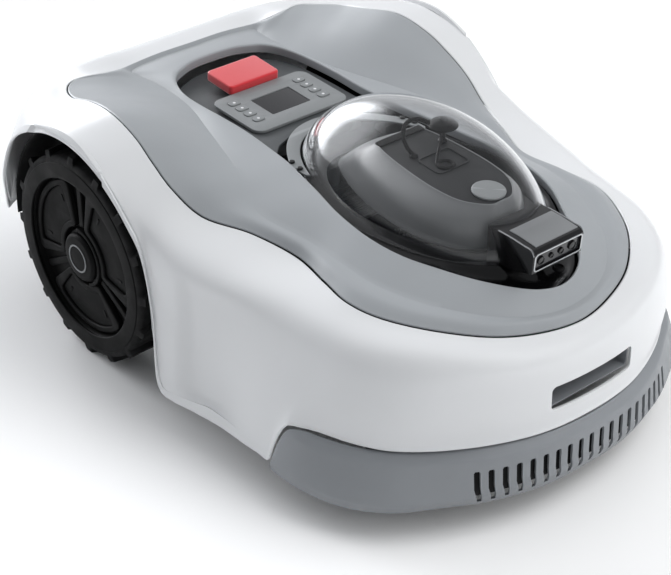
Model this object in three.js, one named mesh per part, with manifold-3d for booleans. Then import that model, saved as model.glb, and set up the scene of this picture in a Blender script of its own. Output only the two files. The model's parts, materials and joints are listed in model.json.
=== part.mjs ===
// Robotic lawn mower, in millimetres. +Z is up, the nose points along -Y, and the origin
// is on the ground under the middle of the machine.
import * as THREE from 'three';
import { mergeVertices } from 'three/addons/utils/BufferGeometryUtils.js';
import Module from 'manifold-3d';

// ---------- driving dimensions ----------
const SKIN = 2.6; // wall of the outer covers
const PANEL_GAP = 1.3; // seam between the white shell and the grey top panel
const HALF_STATIONS = 27; // sections along half of a cover ring

const WHEEL_Y = 165;
const WHEEL_R = 120; // over the lugs
const TYRE_R = 114.6;
const RIM_R = 97.5;
const WHEEL_IN = 197; // inner and outer side faces of the tyre
const WHEEL_OUT = 243;
const LUGS = 16;

const ARCH = { y: 160, z: 115, r: 150, insideX: 206 };
const LINER_R = 146;

const CASTER_X = 118;
const CASTER_Y = -190;
const CASTER_TRAIL = 18;
const CASTER_R = 42;
const CASTER_WIDTH = 26;

const FLOOR_Z = 96; // underside of the front of the tub
const REAR_FLOOR_Z = 60; // underside of the tub between the drive wheels
const TUB_WALL = 3;
const TUB_TOP = 150;
const REAR_TUB = { front: 119, back: 340, wide: 336, corner: 14 };

const CUTTER_Y = -10;
const DISC_Z = 54; // underside of the blade disc at the middle cutting height
const DISC_R = 95;
const BLADES = 3;
const BLADE_PIVOT_R = 88;
const GUIDE_X = 60;
const SCREW_Y = 52; // lead screw, measured back from the cutter's axis

const TRAY_Z = 239; // top of the control recess
const BUTTON = { y: 187, z: 245.5, wide: 68, deep: 45, thick: 11, tilt: 0.079 };
const BEZEL = { y: 120.5, z: 241.6, wide: 128, deep: 84, thick: 3.6, tilt: 0.049 };
const DISPLAY = { wide: 51.5, deep: 38.5 };
const KEY_X = 45;
const KEY_Y = [-18, -4, 10, 24]; // measured from the middle of the bezel
const KEY = { wide: 13, deep: 9, low: 1.4, high: 4.6 };

const CAMERA = { halfWide: 34, back: -230, sill: 233.5, lintel: 250.5, windowX: 30.5, roof: 258.5 };
const DOME = { y: -103, z: 216.5, a: 92.8, b: 157.5, c: 101.5, wall: 2.4, base: 223 };
const FLANGE = { a: 103, b: 172, low: 239.4, high: 241.4, front: -26, halfWide: 82 };
const POD_TOP = { z: 272, y: -130, slope: 0.07 };
const SLOT = { halfWide: 55, low: 116, high: 142 };
const VENTS = 20;
const VENT_PITCH = 14.2;
const VENT_WIDE = 6.5;

// ---------- solid modelling helpers ----------
const wasm = await Module();
wasm.setup();

const UP = new THREE.Vector3(0, 0, 1);
const V = (x, y, z) => new THREE.Vector3(x, y, z);

function solid(geometry) {
  const bare = geometry.clone();
  bare.deleteAttribute('normal');
  bare.deleteAttribute('uv');
  const merged = mergeVertices(bare, 1e-4);
  return new wasm.Manifold(new wasm.Mesh({
    numProp: 3,
    vertProperties: merged.attributes.position.array,
    triVerts: new Uint32Array(merged.index.array),
  }));
}

function geometryOf(manifold) {
  const mesh = manifold.getMesh();
  const count = mesh.vertProperties.length / mesh.numProp;
  const positions = new Float32Array(count * 3);
  for (let i = 0; i < count; i += 1) {
    positions.set(mesh.vertProperties.subarray(i * mesh.numProp, i * mesh.numProp + 3), i * 3);
  }
  const geometry = new THREE.BufferGeometry();
  geometry.setAttribute('position', new THREE.BufferAttribute(positions, 3));
  geometry.setIndex(new THREE.BufferAttribute(mesh.triVerts, 1));
  return geometry;
}

const union = (...parts) => parts.reduce((whole, part) => whole.add(part));
const cut = (whole, ...tools) => tools.reduce((left, tool) => left.subtract(tool), whole);

function box(sx, sy, sz, x, y, z) {
  return solid(new THREE.BoxGeometry(sx, sy, sz).translate(x, y, z));
}

// A cylinder with its middle at (x, y, z) and its axis along the named direction.
function cylinder(radius, length, axis, x, y, z, segments = 24) {
  const geometry = new THREE.CylinderGeometry(radius, radius, length, segments);
  if (axis === 'z') geometry.rotateX(Math.PI / 2);
  if (axis === 'x') geometry.rotateZ(Math.PI / 2);
  return solid(geometry.translate(x, y, z));
}

// Turns [radius, along] pairs about the axis; the profile closes on itself.
function turned(profile, axis, segments = 32) {
  const points = [...profile, profile[0]].map(([r, along]) => new THREE.Vector2(r, along));
  const geometry = new THREE.LatheGeometry(points, segments);
  if (axis === 'z') geometry.rotateX(Math.PI / 2);
  if (axis === 'x') geometry.rotateZ(-Math.PI / 2);
  const made = solid(geometry);
  if (made.volume() >= 0) return made;
  return solid(flipped(geometry));
}

function flipped(geometry) {
  const index = geometry.index.array.slice();
  for (let i = 0; i < index.length; i += 3) {
    [index[i + 1], index[i + 2]] = [index[i + 2], index[i + 1]];
  }
  const result = geometry.clone();
  result.setIndex(new THREE.BufferAttribute(index, 1));
  return result;
}

function outline(points) {
  return new THREE.Shape(points.map(([x, y]) => new THREE.Vector2(x, y)));
}

function slab(shape, low, high, curveSegments = 3) {
  const options = { depth: high - low, bevelEnabled: false, curveSegments };
  return solid(new THREE.ExtrudeGeometry(shape, options).translate(0, 0, low));
}

function roundedRectangle(wide, deep, radius) {
  const x = wide / 2;
  const y = deep / 2;
  const shape = new THREE.Shape();
  shape.moveTo(-x + radius, -y);
  shape.lineTo(x - radius, -y);
  shape.absarc(x - radius, -y + radius, radius, -Math.PI / 2, 0, false);
  shape.absarc(x - radius, y - radius, radius, 0, Math.PI / 2, false);
  shape.absarc(-x + radius, y - radius, radius, Math.PI / 2, Math.PI, false);
  shape.absarc(-x + radius, -y + radius, radius, Math.PI, Math.PI * 1.5, false);
  return shape;
}

function circlePath(x, y, radius) {
  return new THREE.Path().absarc(x, y, radius, 0, Math.PI * 2, true);
}

const mirroredOutline = (half) => [
  ...half,
  ...half.slice(1, -1).reverse().map(([x, y]) => [-x, y]),
];

// ---------- the outer surface: control points of the right half, rear centre to nose ----------
// Each row runs along the body; row k of one line and row k of another make one section.
const RIM = [
  [0, 243, 257], [28, 241, 257], [48, 234, 256.5], [60, 227, 256], [70, 214, 255],
  [77, 195, 253.5], [80, 176, 253], [81, 150, 253], [80.5, 120, 253], [79.5, 80, 251.5],
  [82, 40, 250], [86, 2, 249], [91, -25, 247], [97, -58, 244.5], [105, -98, 240.5],
  [108, -145, 236], [101, -185, 231], [84, -219, 225.5], [66, -250, 221],
  [44, -278, 217], [23, -292, 213], [0, -297, 211],
];
const CREASE = [
  [0, 281, 253], [45, 281, 253], [84, 279, 250], [86, 262, 249.5], [84, 240, 250],
  [84, 212, 250], [86, 188, 250], [91, 155, 248.5], [101, 121, 246.5], [113, 82, 245],
  [124, 47, 243], [134, 14, 239.5], [144, -14, 234], [152, -42, 228], [141, -98, 222],
  [141, -148, 220], [138, -188, 216], [124, -226, 211], [101, -262, 206],
  [70, -292, 201], [36, -308, 197], [0, -313, 195],
];
const OUTLINE = [
  [0, 288, 251], [47, 288, 251], [90, 288, 249], [128, 276, 260], [157, 283, 259],
  [174, 270, 259], [187, 238, 265], [187, 200, 274], [195, 150, 282], [199, 105, 274],
  [202, 72, 259], [202, 40, 242], [193, 3, 224], [172, -47, 220], [157, -98, 211],
  [165, -148, 210], [170, -186, 208], [160, -222, 204], [133, -264, 200],
  [92, -299, 193], [47, -317, 187], [0, -325, 185],
];
const SHOULDER = [
  [0, 335, 247], [52, 335, 247], [100, 331, 250], [142, 325, 251], [178, 312, 251],
  [208, 286, 254], [230, 250, 260], [240, 205, 269], [244, 152, 273], [244, 105, 264],
  [243, 68, 244], [242, 34, 222], [242, -6, 206], [236, -52, 198], [224, -98, 197],
  [214, -140, 194], [206, -188, 191], [193, -236, 189], [162, -283, 188],
  [115, -319, 183], [60, -339, 175], [0, -345, 172],
];
const FLANK = [
  [0, 357, 205], [56, 357, 205], [112, 355, 205], [160, 348, 205], [202, 333, 205],
  [230, 303, 212], [247, 262, 222], [253, 210, 236], [255, 152, 240], [254, 102, 222],
  [252, 66, 180], [251, 32, 150], [251, -12, 130], [246, -56, 120], [240, -96, 120],
  [234, -136, 120], [226, -188, 125], [212, -236, 128], [180, -285, 130],
  [126, -322, 130], [64, -343, 130], [0, -349, 130],
];
const HEM = [
  [0, 353, 118], [55, 353, 118], [110, 351, 118], [162, 346, 118], [206, 333, 118],
  [235, 312, 115], [249, 275, 110], [256, 225, 100], [258, 160, 90], [258, 90, 70],
  [258, 50, 50], [257.5, 22, 40], [256, -14, 40], [250, -55, 40], [245, -92, 40],
  [243, -138, 40], [238.5, -174, 94], [212, -240, 95], [184, -280, 94.5],
  [130, -318, 94.5], [66, -344, 94.5], [0, -351, 94.5],
];
const curveThrough = (points) => new THREE.CatmullRomCurve3(
  points.map((p) => V(...p)), false, 'catmullrom', 0.5,
);

const rimLine = curveThrough(RIM);
const creaseLine = curveThrough(CREASE);
const outlineLine = curveThrough(OUTLINE);
const shoulderLine = curveThrough(SHOULDER);
const flankLine = curveThrough(FLANK);
const hemLine = curveThrough(HEM);

// Points of one section, through its control points, with the given number of steps per span.
function sectionThrough(points, steps) {
  return new THREE.CatmullRomCurve3(points, false, 'centripetal').getPoints((points.length - 1) * steps);
}

// A section of the grey panel: a turned-down edge round the recess, the deck out to the
// crease, then the crowned wing out to the seam.
function panelSection(t) {
  const rim = rimLine.getPoint(t);
  const crease = creaseLine.getPoint(t);
  const edge = outlineLine.getPoint(t);
  const outward = edge.clone().sub(rim).setZ(0).normalize();
  const flange = rim.clone().addScaledVector(outward, 1.2).addScaledVector(UP, -11);
  const deckMiddle = rim.clone().lerp(crease, 0.5).addScaledVector(UP, 0.8);
  const wing = crease.clone().lerp(edge, 0.55).addScaledVector(UP, 2.5);
  const wingSection = sectionThrough([crease, wing, edge], 2);
  return [flange, rim, deckMiddle, ...wingSection];
}

function shellSection(t) {
  const edge = outlineLine.getPoint(t);
  const shoulder = shoulderLine.getPoint(t);
  const outward = shoulder.clone().sub(edge).setZ(0).normalize();
  const start = edge.clone().addScaledVector(outward, PANEL_GAP);
  return sectionThrough([start, shoulder, flankLine.getPoint(t), hemLine.getPoint(t)], 2);
}

// Sections of the right half, then their mirror images, as one closed ring.
function ringOfSections(sectionAt) {
  const half = [];
  for (let i = 0; i <= HALF_STATIONS; i += 1) half.push(sectionAt(i / HALF_STATIONS));
  half[0].forEach((p) => p.setX(0));
  half[HALF_STATIONS].forEach((p) => p.setX(0));
  const mirrored = half.slice(1, -1).reverse();
  return [...half, ...mirrored.map((section) => section.map((p) => V(-p.x, p.y, p.z)))];
}

// A closed wall of even thickness behind a grid of surface points. The grid's columns wrap
// round when ring is true, and its first and last columns are capped otherwise. Facing is -1
// where the rows run inwards instead of outwards.
function wall(sections, thickness, ring, facing = 1) {
  const columns = sections.length;
  const rows = sections[0].length;
  const at = (i, j) => sections[(i + columns) % columns][j];
  const inner = sections.map((section, i) => section.map((point, j) => {
    const before = ring ? at(i - 1, j) : at(Math.max(i - 1, 0), j);
    const after = ring ? at(i + 1, j) : at(Math.min(i + 1, columns - 1), j);
    const along = after.clone().sub(before);
    const down = at(i, Math.min(j + 1, rows - 1)).clone().sub(at(i, Math.max(j - 1, 0)));
    const normal = along.cross(down).normalize().multiplyScalar(facing);
    return point.clone().addScaledVector(normal, -thickness);
  }));
  const vertices = [];
  const grids = [sections, inner];
  grids.forEach((grid) => grid.forEach((section) => section.forEach((p) => vertices.push(p.x, p.y, p.z))));
  const id = (side, i, j) => (side * columns + (i % columns)) * rows + j;
  const triangles = [];
  const quad = (a, b, c, d) => triangles.push(a, b, c, a, c, d);
  const last = ring ? columns : columns - 1;
  for (let i = 0; i < last; i += 1) {
    for (let j = 0; j < rows - 1; j += 1) {
      quad(id(0, i, j), id(0, i, j + 1), id(0, i + 1, j + 1), id(0, i + 1, j));
      quad(id(1, i, j), id(1, i + 1, j), id(1, i + 1, j + 1), id(1, i, j + 1));
    }
    quad(id(0, i, 0), id(0, i + 1, 0), id(1, i + 1, 0), id(1, i, 0));
    quad(id(0, i, rows - 1), id(1, i, rows - 1), id(1, i + 1, rows - 1), id(0, i + 1, rows - 1));
  }
  if (!ring) {
    for (let j = 0; j < rows - 1; j += 1) {
      quad(id(0, 0, j), id(1, 0, j), id(1, 0, j + 1), id(0, 0, j + 1));
      quad(id(0, last, j), id(0, last, j + 1), id(1, last, j + 1), id(1, last, j));
    }
  }
  const geometry = new THREE.BufferGeometry();
  geometry.setAttribute('position', new THREE.BufferAttribute(new Float32Array(vertices), 3));
  geometry.setIndex(triangles);
  const made = solid(geometry);
  return made.volume() > 0 ? made : solid(flipped(geometry));
}

// ---------- materials ----------
const finish = (color, roughness, metalness = 0) => ({ color, roughness, metalness });
const FINISH = {
  white: finish(0xe9ebee, 0.3),
  grey: finish(0xa3a7ab, 0.45),
  bumperGrey: finish(0x84898e, 0.5),
  black: finish(0x17181a, 0.5),
  gloss: finish(0x0b0c0d, 0.12),
  tread: finish(0x2a2a2b, 0.85),
  recess: finish(0x4a4e51, 0.6),
  bezel: finish(0x96999b, 0.4),
  screen: finish(0x3f4245, 0.2),
  red: finish(0xcc2530, 0.4),
  clear: finish(0xd8dcde, 0.05),
  smoke: finish(0x55585b, 0.3),
  steel: finish(0xb9bcbe, 0.3, 1),
  board: finish(0x1f4f33, 0.6),
  battery: finish(0x2c4a6b, 0.5),
};

const mower = new THREE.Group();

function add(name, shape, look, group = mower) {
  const { color, roughness, metalness } = FINISH[look];
  const material = new THREE.MeshStandardMaterial({ color, roughness, metalness });
  const mesh = new THREE.Mesh(geometryOf(shape), material);
  mesh.name = name;
  group.add(mesh);
  return mesh;
}

// ---------- outer covers ----------
function dockSlotTool(margin, yBack) {
  const wide = 2 * (SLOT.halfWide + margin);
  const high = SLOT.high - SLOT.low + 2 * margin;
  const middle = (SLOT.high + SLOT.low) / 2;
  return box(wide, 400 + yBack, high, 0, (yBack - 400) / 2, middle);
}

function archTool(side) {
  const reach = 80;
  return cylinder(ARCH.r, reach, 'x', side * (ARCH.insideX + reach / 2), ARCH.y, ARCH.z, 48);
}

function makeShell() {
  const skin = wall(ringOfSections(shellSection), SKIN, true);
  return cut(skin, archTool(1), archTool(-1), dockSlotTool(0, -300));
}

function makeTopPanel() {
  return wall(ringOfSections(panelSection), SKIN, true);
}

// Half a tunnel over each drive wheel, closed on its inner side.
function makeArchLiner(side) {
  const innerFace = 178;
  const deep = 50;
  const sheet = 2;
  const middle = side * (innerFace + deep / 2);
  const outer = cylinder(LINER_R, deep, 'x', middle, ARCH.y, ARCH.z, 32);
  const inner = cylinder(LINER_R - sheet, deep, 'x', middle + side * sheet, ARCH.y, ARCH.z, 32);
  const below = box(200, 400, 200, middle, ARCH.y, ARCH.z + sheet - 100);
  const axleHole = cylinder(16, 20, 'x', side * innerFace, WHEEL_Y, WHEEL_R, 20);
  return cut(outer, inner, below, axleHole);
}

// ---------- bumper ----------
// Each row is a section: top lip, ledge, face, lower chamfer and hem. The rows run from the
// end beside the drive wheel to the nose.
const BUMPER = [
  [[241.5, -166, 66], [243.5, -165, 62], [246, -163, 50], [247, -161, 40], [244, -160, 31]],
  [[235, -184, 86], [239, -183, 81], [245, -183, 58], [247.5, -183, 44], [244, -183, 31]],
  [[224, -212, 92], [231, -214, 86], [240, -214, 58], [244, -214, 44], [241, -212, 31]],
  [[208, -243, 92], [215, -249, 86], [226, -252, 58], [231, -254, 44], [228, -251, 31]],
  [[184, -273, 92], [191, -281, 86], [200, -286, 58], [203, -289, 44], [199, -285, 31]],
  [[150, -298, 92], [155, -307, 86], [160, -313, 58], [162, -316, 44], [159, -311, 31]],
  [[108, -324, 92], [112, -333, 86], [114, -337, 58], [115, -339, 44], [113, -334, 31]],
  [[56, -343, 92], [58, -352, 86], [59, -354, 58], [59, -355, 44], [58, -350, 31]],
  [[0, -350, 92], [0, -357, 86], [0, -358, 58], [0, -358, 44], [0, -353, 31]],
];

function makeBumper() {
  const lines = [0, 1, 2, 3, 4].map((row) => curveThrough(BUMPER.map((section) => section[row])));
  const steps = 11;
  const half = [];
  for (let i = 0; i <= steps; i += 1) half.push(lines.map((line) => line.getPoint(i / steps)));
  half[steps].forEach((p) => p.setX(0));
  const mirrored = half.slice(0, -1).reverse().map((section) => section.map((p) => V(-p.x, p.y, p.z)));
  const bumper = wall([...half, ...mirrored], 3, false);
  return cut(bumper, ...ventTools());
}

// The vents follow the bow of the nose, and each is cut square to it.
function ventTools() {
  const noseY = BUMPER[BUMPER.length - 1][2][1];
  const tools = [];
  for (let i = 0; i < VENTS; i += 1) {
    const x = (i - (VENTS - 1) / 2) * VENT_PITCH;
    const turn = Math.sign(x) * Math.atan(Math.abs(x) ** 1.6 / 4200);
    const y = noseY + x * x / 780;
    const slot = new THREE.BoxGeometry(VENT_WIDE, 40, 30).rotateZ(turn).translate(x, y, 56);
    tools.push(solid(slot));
  }
  return tools;
}

// ---------- chassis ----------
const TUB_FRONT = mirroredOutline([
  [0, -312], [60, -306], [106, -288], [146, -262], [176, -236], [196, -205],
  [210, -165], [216, -110], [216, 4], [168, 4], [168, REAR_TUB.front + 10], [0, REAR_TUB.front + 10],
]);

// The front outline drawn in towards its middle, a little more than the wall at the corners.
function innerTubOutline() {
  const centreY = -100;
  const inset = TUB_WALL * 1.35;
  return TUB_FRONT.map(([x, y]) => {
    const reach = Math.hypot(x, y - centreY);
    const scale = (reach - inset) / reach;
    return [x * scale, centreY + (y - centreY) * scale];
  });
}

function makeTub() {
  const rearDeep = REAR_TUB.back - REAR_TUB.front;
  const rearMiddle = (REAR_TUB.back + REAR_TUB.front) / 2;
  const twoWalls = 2 * TUB_WALL;
  const rearOuter = roundedRectangle(REAR_TUB.wide, rearDeep, REAR_TUB.corner);
  const rearInner = roundedRectangle(
    REAR_TUB.wide - twoWalls, rearDeep - twoWalls, REAR_TUB.corner - TUB_WALL,
  );
  const front = slab(outline(TUB_FRONT), FLOOR_Z, TUB_TOP);
  const rear = slab(rearOuter, REAR_FLOOR_Z, TUB_TOP).translate(0, rearMiddle, 0);
  const frontHollow = slab(outline(innerTubOutline()), FLOOR_Z + TUB_WALL, TUB_TOP + 5);
  const rearHollow = slab(rearInner, REAR_FLOOR_Z + TUB_WALL, TUB_TOP + 5).translate(0, rearMiddle, 0);
  let tub = cut(union(front, rear), frontHollow, rearHollow);
  tub = tub.subtract(cylinder(50, 20, 'z', 0, CUTTER_Y, FLOOR_Z, 40));
  tub = tub.subtract(cylinder(14, 400, 'x', 0, WHEEL_Y, WHEEL_R, 24));
  [-1, 1].forEach((side) => {
    tub = tub.add(cylinder(16, 24, 'z', side * CASTER_X, CASTER_Y, FLOOR_Z + 12, 24));
    tub = tub.subtract(cylinder(8.4, 60, 'z', side * CASTER_X, CASTER_Y, FLOOR_Z + 12, 24));
  });
  return tub;
}

// ---------- control recess ----------
function openingOutline(inset, fromT, toT, steps) {
  const points = [];
  for (let i = 0; i <= steps; i += 1) {
    const p = rimLine.getPoint(fromT + ((toT - fromT) * i) / steps);
    const reach = Math.hypot(p.x, p.y - 60);
    const scale = (reach - inset) / reach;
    points.push([p.x * scale, 60 + (p.y - 60) * scale]);
  }
  return points;
}

function makeTray() {
  const half = openingOutline(4, 0, 10 / 21, 12);
  const low = half[half.length - 1];
  const points = [...half, [low[0] - 2, 34], [60, 50], [30, 62], [0, 65]];
  return slab(outline(mirroredOutline(points)), TRAY_Z - 3, TRAY_Z);
}

function tilted(group, y, z, tilt) {
  group.position.set(0, y, z);
  group.rotation.x = tilt;
  mower.add(group);
  return group;
}

function makeBezel() {
  const shape = roundedRectangle(BEZEL.wide, BEZEL.deep, 12);
  const hole = (wide, deep, x, y) => {
    const loop = roundedRectangle(wide, deep, 2).getPoints(1).reverse();
    shape.holes.push(new THREE.Path(loop.map((p) => new THREE.Vector2(p.x + x, p.y + y))));
  };
  hole(DISPLAY.wide + 0.8, DISPLAY.deep + 0.8, 0, 0);
  [-1, 1].forEach((side) => KEY_Y.forEach((y) => hole(KEY.wide + 0.8, KEY.deep + 0.8, side * KEY_X, y)));
  return slab(shape, 0, BEZEL.thick);
}

function addControls() {
  const panel = tilted(new THREE.Group(), BEZEL.y, BEZEL.z, BEZEL.tilt);
  add('keypad_bezel', makeBezel(), 'bezel', panel);
  const screen = slab(roundedRectangle(DISPLAY.wide, DISPLAY.deep, 2), 0, 2.8, 1);
  add('display_screen', screen, 'screen', panel);
  let number = 1;
  [-1, 1].forEach((side) => KEY_Y.forEach((y) => {
    const key = slab(roundedRectangle(KEY.wide, KEY.deep, 2.2), KEY.low, KEY.high, 1);
    add(`key_${number}`, key.translate(side * KEY_X, y, 0), 'bezel', panel);
    number += 1;
  }));
  const button = tilted(new THREE.Group(), BUTTON.y, BUTTON.z, BUTTON.tilt);
  const cap = slab(roundedRectangle(BUTTON.wide, BUTTON.deep, 4), 0, BUTTON.thick);
  add('stop_button', cap, 'red', button);
}

// ---------- sensor dome ----------
function ellipsoid(grow, segments, rings) {
  const geometry = new THREE.SphereGeometry(1, segments, rings).rotateX(Math.PI / 2);
  geometry.scale(DOME.a + grow, DOME.b + grow, DOME.c + grow);
  return solid(geometry.translate(0, DOME.y, DOME.z));
}

function makeDome() {
  const below = box(400, 500, 200, 0, DOME.y, DOME.base - 100);
  const room = 1.6;
  const deep = 100;
  const high = 80;
  const roomForCamera = box(
    2 * (CAMERA.halfWide + room), deep, high, 0, CAMERA.back + room - deep / 2, CAMERA.roof + room - high / 2,
  );
  return cut(ellipsoid(0, 28, 16), ellipsoid(-DOME.wall, 28, 16), below, roomForCamera);
}

// The black gutter between the recess edge and the dome, open under the dome.
function makeBowl() {
  const steps = 30;
  const sections = [];
  for (let i = 0; i < steps; i += 1) {
    const angle = (i / steps) * Math.PI * 2;
    const side = Math.sin(angle);
    const fore = Math.cos(angle);
    const dome = V(side * (DOME.a - 3), DOME.y + fore * (DOME.b - 3), DOME.base - 3.5);
    const rim = bowlRim(angle);
    const bottom = rim.clone().lerp(dome, 0.55).setZ(Math.min(rim.z, dome.z) - 3);
    sections.push([rim, bottom, dome, dome.clone().lerp(V(0, DOME.y, dome.z), 0.22)]);
  }
  return wall(sections, 2.4, true, -1);
}

// Where the gutter meets the recess edge, seen at an angle from the dome's middle.
function bowlRim(angle) {
  const direction = V(Math.sin(angle), Math.cos(angle), 0);
  let best = null;
  for (let i = 0; i <= 240; i += 1) {
    const p = rimLine.getPoint(i / 240);
    const mirrored = V(direction.x < 0 ? -p.x : p.x, p.y, p.z);
    const offset = mirrored.clone().sub(V(0, DOME.y, 0)).setZ(0).normalize();
    const closeness = offset.dot(direction);
    if (p.y < 66 && (!best || closeness > best.closeness)) best = { closeness, point: mirrored };
  }
  const centre = V(0, DOME.y, 0);
  const reach = best.point.clone().sub(centre).setZ(0).length() - 4.5;
  const behind = (66 - DOME.y - 2) / Math.max(direction.y, 0.01);
  const shorter = direction.y > 0 ? Math.min(reach, behind) : reach;
  return centre.addScaledVector(direction, shorter).setZ(Math.min(best.point.z - 6, TRAY_Z - 4));
}

const podTopAt = (y) => POD_TOP.z + (y - POD_TOP.y) * POD_TOP.slope;

// The instrument pod under the dome: steep sides up to a flat, slightly nose-down top plate.
function makePod() {
  const base = mirroredOutline([
    [0, 10], [20, 2], [38, -30], [53, -75], [60, -120], [59, -165], [46, -202],
    [20, -224], [0, -227],
  ]);
  const top = mirroredOutline([
    [0, -62], [18, -62], [29, -66], [36, -92], [40, -130], [40, -165], [34, -194],
    [16, -215], [0, -217],
  ]);
  const sections = base.map(([x, y], i) => {
    const [topX, topY] = top[i];
    const middleX = topX * 0.5;
    const middleY = (topY - 124) * 0.5;
    return [
      V(middleX, middleY, podTopAt(middleY)),
      V(topX, topY, podTopAt(topY)),
      V(x * 0.58 + topX * 0.5, (y + topY) / 2, 254),
      V(x, y, DOME.base + 0.4),
    ];
  });
  return wall(sections, 2, true);
}

// The ring under the back half of the dome that holds it down, and its screws.
function makeFlange() {
  const outer = new THREE.Shape();
  outer.absellipse(0, DOME.y, FLANGE.a, FLANGE.b, 0, Math.PI * 2, false);
  const inner = new THREE.Path();
  inner.absellipse(0, DOME.y, DOME.a - 1.3, DOME.b - 2.5, 0, Math.PI * 2, true);
  outer.holes.push(inner);
  const ring = slab(outer, FLANGE.low, FLANGE.high, 26);
  const keep = box(2 * FLANGE.halfWide, 200, 20, 0, FLANGE.front + 100, FLANGE.low);
  return ring.intersect(keep);
}

function makeFlangeScrew(side) {
  const head = turned([[0, 0], [3.6, 0], [3.6, 1.4], [2.6, 2.2], [0, 2.2]], 'z', 14);
  return head.translate(side * 79, -8, FLANGE.high + 0.3);
}

// A round antenna lying on the front of the pod's top plate.
function makeAntennaDisc() {
  const y = -197;
  const disc = turned([[0, 0], [17, 0], [17, 1.8], [15.5, 2.6], [0, 2.6]], 'z', 24);
  return disc.rotate([THREE.MathUtils.radToDeg(Math.atan(POD_TOP.slope)), 0, 0])
    .translate(0, y, podTopAt(y) + 0.4);
}

function tube(points, radius, steps) {
  const path = new THREE.CatmullRomCurve3(points.map((p) => V(...p)));
  const section = new THREE.Shape().absarc(0, 0, radius, 0, Math.PI * 2, false);
  return solid(new THREE.ExtrudeGeometry(section, { steps, extrudePath: path, curveSegments: 4 }));
}

// A hooded antenna on a short stalk, standing on the pod.
const MAST = { x: 28, y: -103 };
function makeMast() {
  const foot = podTopAt(MAST.y) + 0.6;
  const profile = [
    [0, foot], [5, foot], [5, foot + 2], [3, foot + 3],
    [3, 289], [14, 290.5], [16, 293], [12, 297], [4, 299.5], [0, 300.5],
  ];
  return turned(profile, 'z', 20).translate(MAST.x, MAST.y, 0);
}

// The cable loops from the hood down to the plate, clipped at both ends.
const MAST_CABLE = [
  [11, -97, 299], [2, -91, 303.5], [-8, -88, 301], [-15, -91, 292], [-17, -99, 282],
  [-15, -107, 277],
];

// A ring for the antenna's second lead, on the plate in front of the mast.
function makeConnector() {
  const y = -137;
  const ring = turned([[6, 0], [10, 0], [10, 1.4], [8.2, 2.6], [6, 1.4]], 'z', 20);
  return ring.translate(0, y, podTopAt(y) + 0.9);
}

// The camera's snout stands out of the front of the dome, with a window in its face.
const windowMiddle = (CAMERA.sill + CAMERA.lintel) / 2;
const windowHigh = CAMERA.lintel - CAMERA.sill;
function makeCamera() {
  const side = outline([
    [-262, DOME.base], [-289.5, 230.5], [-291, 252], [-288, 255.5], [-262, 258],
    [CAMERA.back, CAMERA.roof], [CAMERA.back, DOME.base],
  ]);
  const options = { depth: 2 * CAMERA.halfWide, bevelEnabled: false };
  const geometry = new THREE.ExtrudeGeometry(side, options).rotateY(Math.PI / 2).rotateX(Math.PI / 2);
  const body = solid(geometry.translate(-CAMERA.halfWide, 0, 0));
  return cut(body, box(2 * CAMERA.windowX, 10, windowHigh, 0, -290, windowMiddle));
}

function makeCameraWindow() {
  const gap = 0.3;
  return box(2 * (CAMERA.windowX - gap), 3, windowHigh - 2 * gap, 0, -286.8, windowMiddle);
}

function addSensors() {
  add('sensor_bowl', makeBowl(), 'gloss');
  add('dome_cover', makeDome(), 'clear');
  add('dome_flange', makeFlange(), 'bezel');
  add('left_flange_screw', makeFlangeScrew(-1), 'gloss');
  add('right_flange_screw', makeFlangeScrew(1), 'gloss');
  add('sensor_pod', makePod(), 'smoke');
  add('antenna_disc', makeAntennaDisc(), 'smoke');
  add('antenna_mast', makeMast(), 'black');
  add('antenna_cable', tube(MAST_CABLE, 2.3, 16), 'gloss');
  add('cable_connector', makeConnector(), 'gloss');
  add('camera_housing', makeCamera(), 'gloss');
  add('camera_window', makeCameraWindow(), 'screen');
}

// ---------- drive wheels ----------
function tyreOutline() {
  const shape = new THREE.Shape();
  const lugHalf = 0.052;
  const step = (Math.PI * 2) / LUGS;
  for (let i = 0; i < LUGS; i += 1) {
    const middle = i * step;
    const foot = lugHalf * 1.25;
    const rise = [
      [-foot, TYRE_R], [-lugHalf, WHEEL_R], [lugHalf, WHEEL_R], [foot, TYRE_R], [step / 2, TYRE_R],
    ];
    rise.forEach(([angle, r], j) => {
      const x = r * Math.cos(middle + angle);
      const y = r * Math.sin(middle + angle);
      if (i === 0 && j === 0) shape.moveTo(x, y);
      else shape.lineTo(x, y);
    });
  }
  const sides = 30;
  const bore = (RIM_R + 0.4) / Math.cos(Math.PI / sides);
  shape.holes.push(new THREE.Path(circlePath(0, 0, bore).getPoints(sides)));
  return shape;
}

// Wheels are modelled with their outer face towards +Z, then turned to face outwards.
function wheelGroup(side) {
  const group = new THREE.Group();
  group.position.set(0, WHEEL_Y, WHEEL_R);
  group.rotation.set(0, side * Math.PI / 2, 0);
  mower.add(group);
  return group;
}

function makeRim() {
  let rim = turned([
    [0, 167], [0, 236], [30, 236], [34, 228], [88, 228], [91, 241], [RIM_R, 241],
    [RIM_R, 199], [93, 199], [90, 222], [24, 222], [12, 200], [12, 167],
  ], 'z', 30);
  const ribs = 6;
  for (let i = 0; i < ribs; i += 1) {
    const angle = (i * Math.PI * 2) / ribs + 0.3;
    const rib = new THREE.BoxGeometry(44, 13, 5).translate(60, 0, 230).rotateZ(angle);
    rim = rim.add(solid(rib));
  }
  return rim;
}

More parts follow.
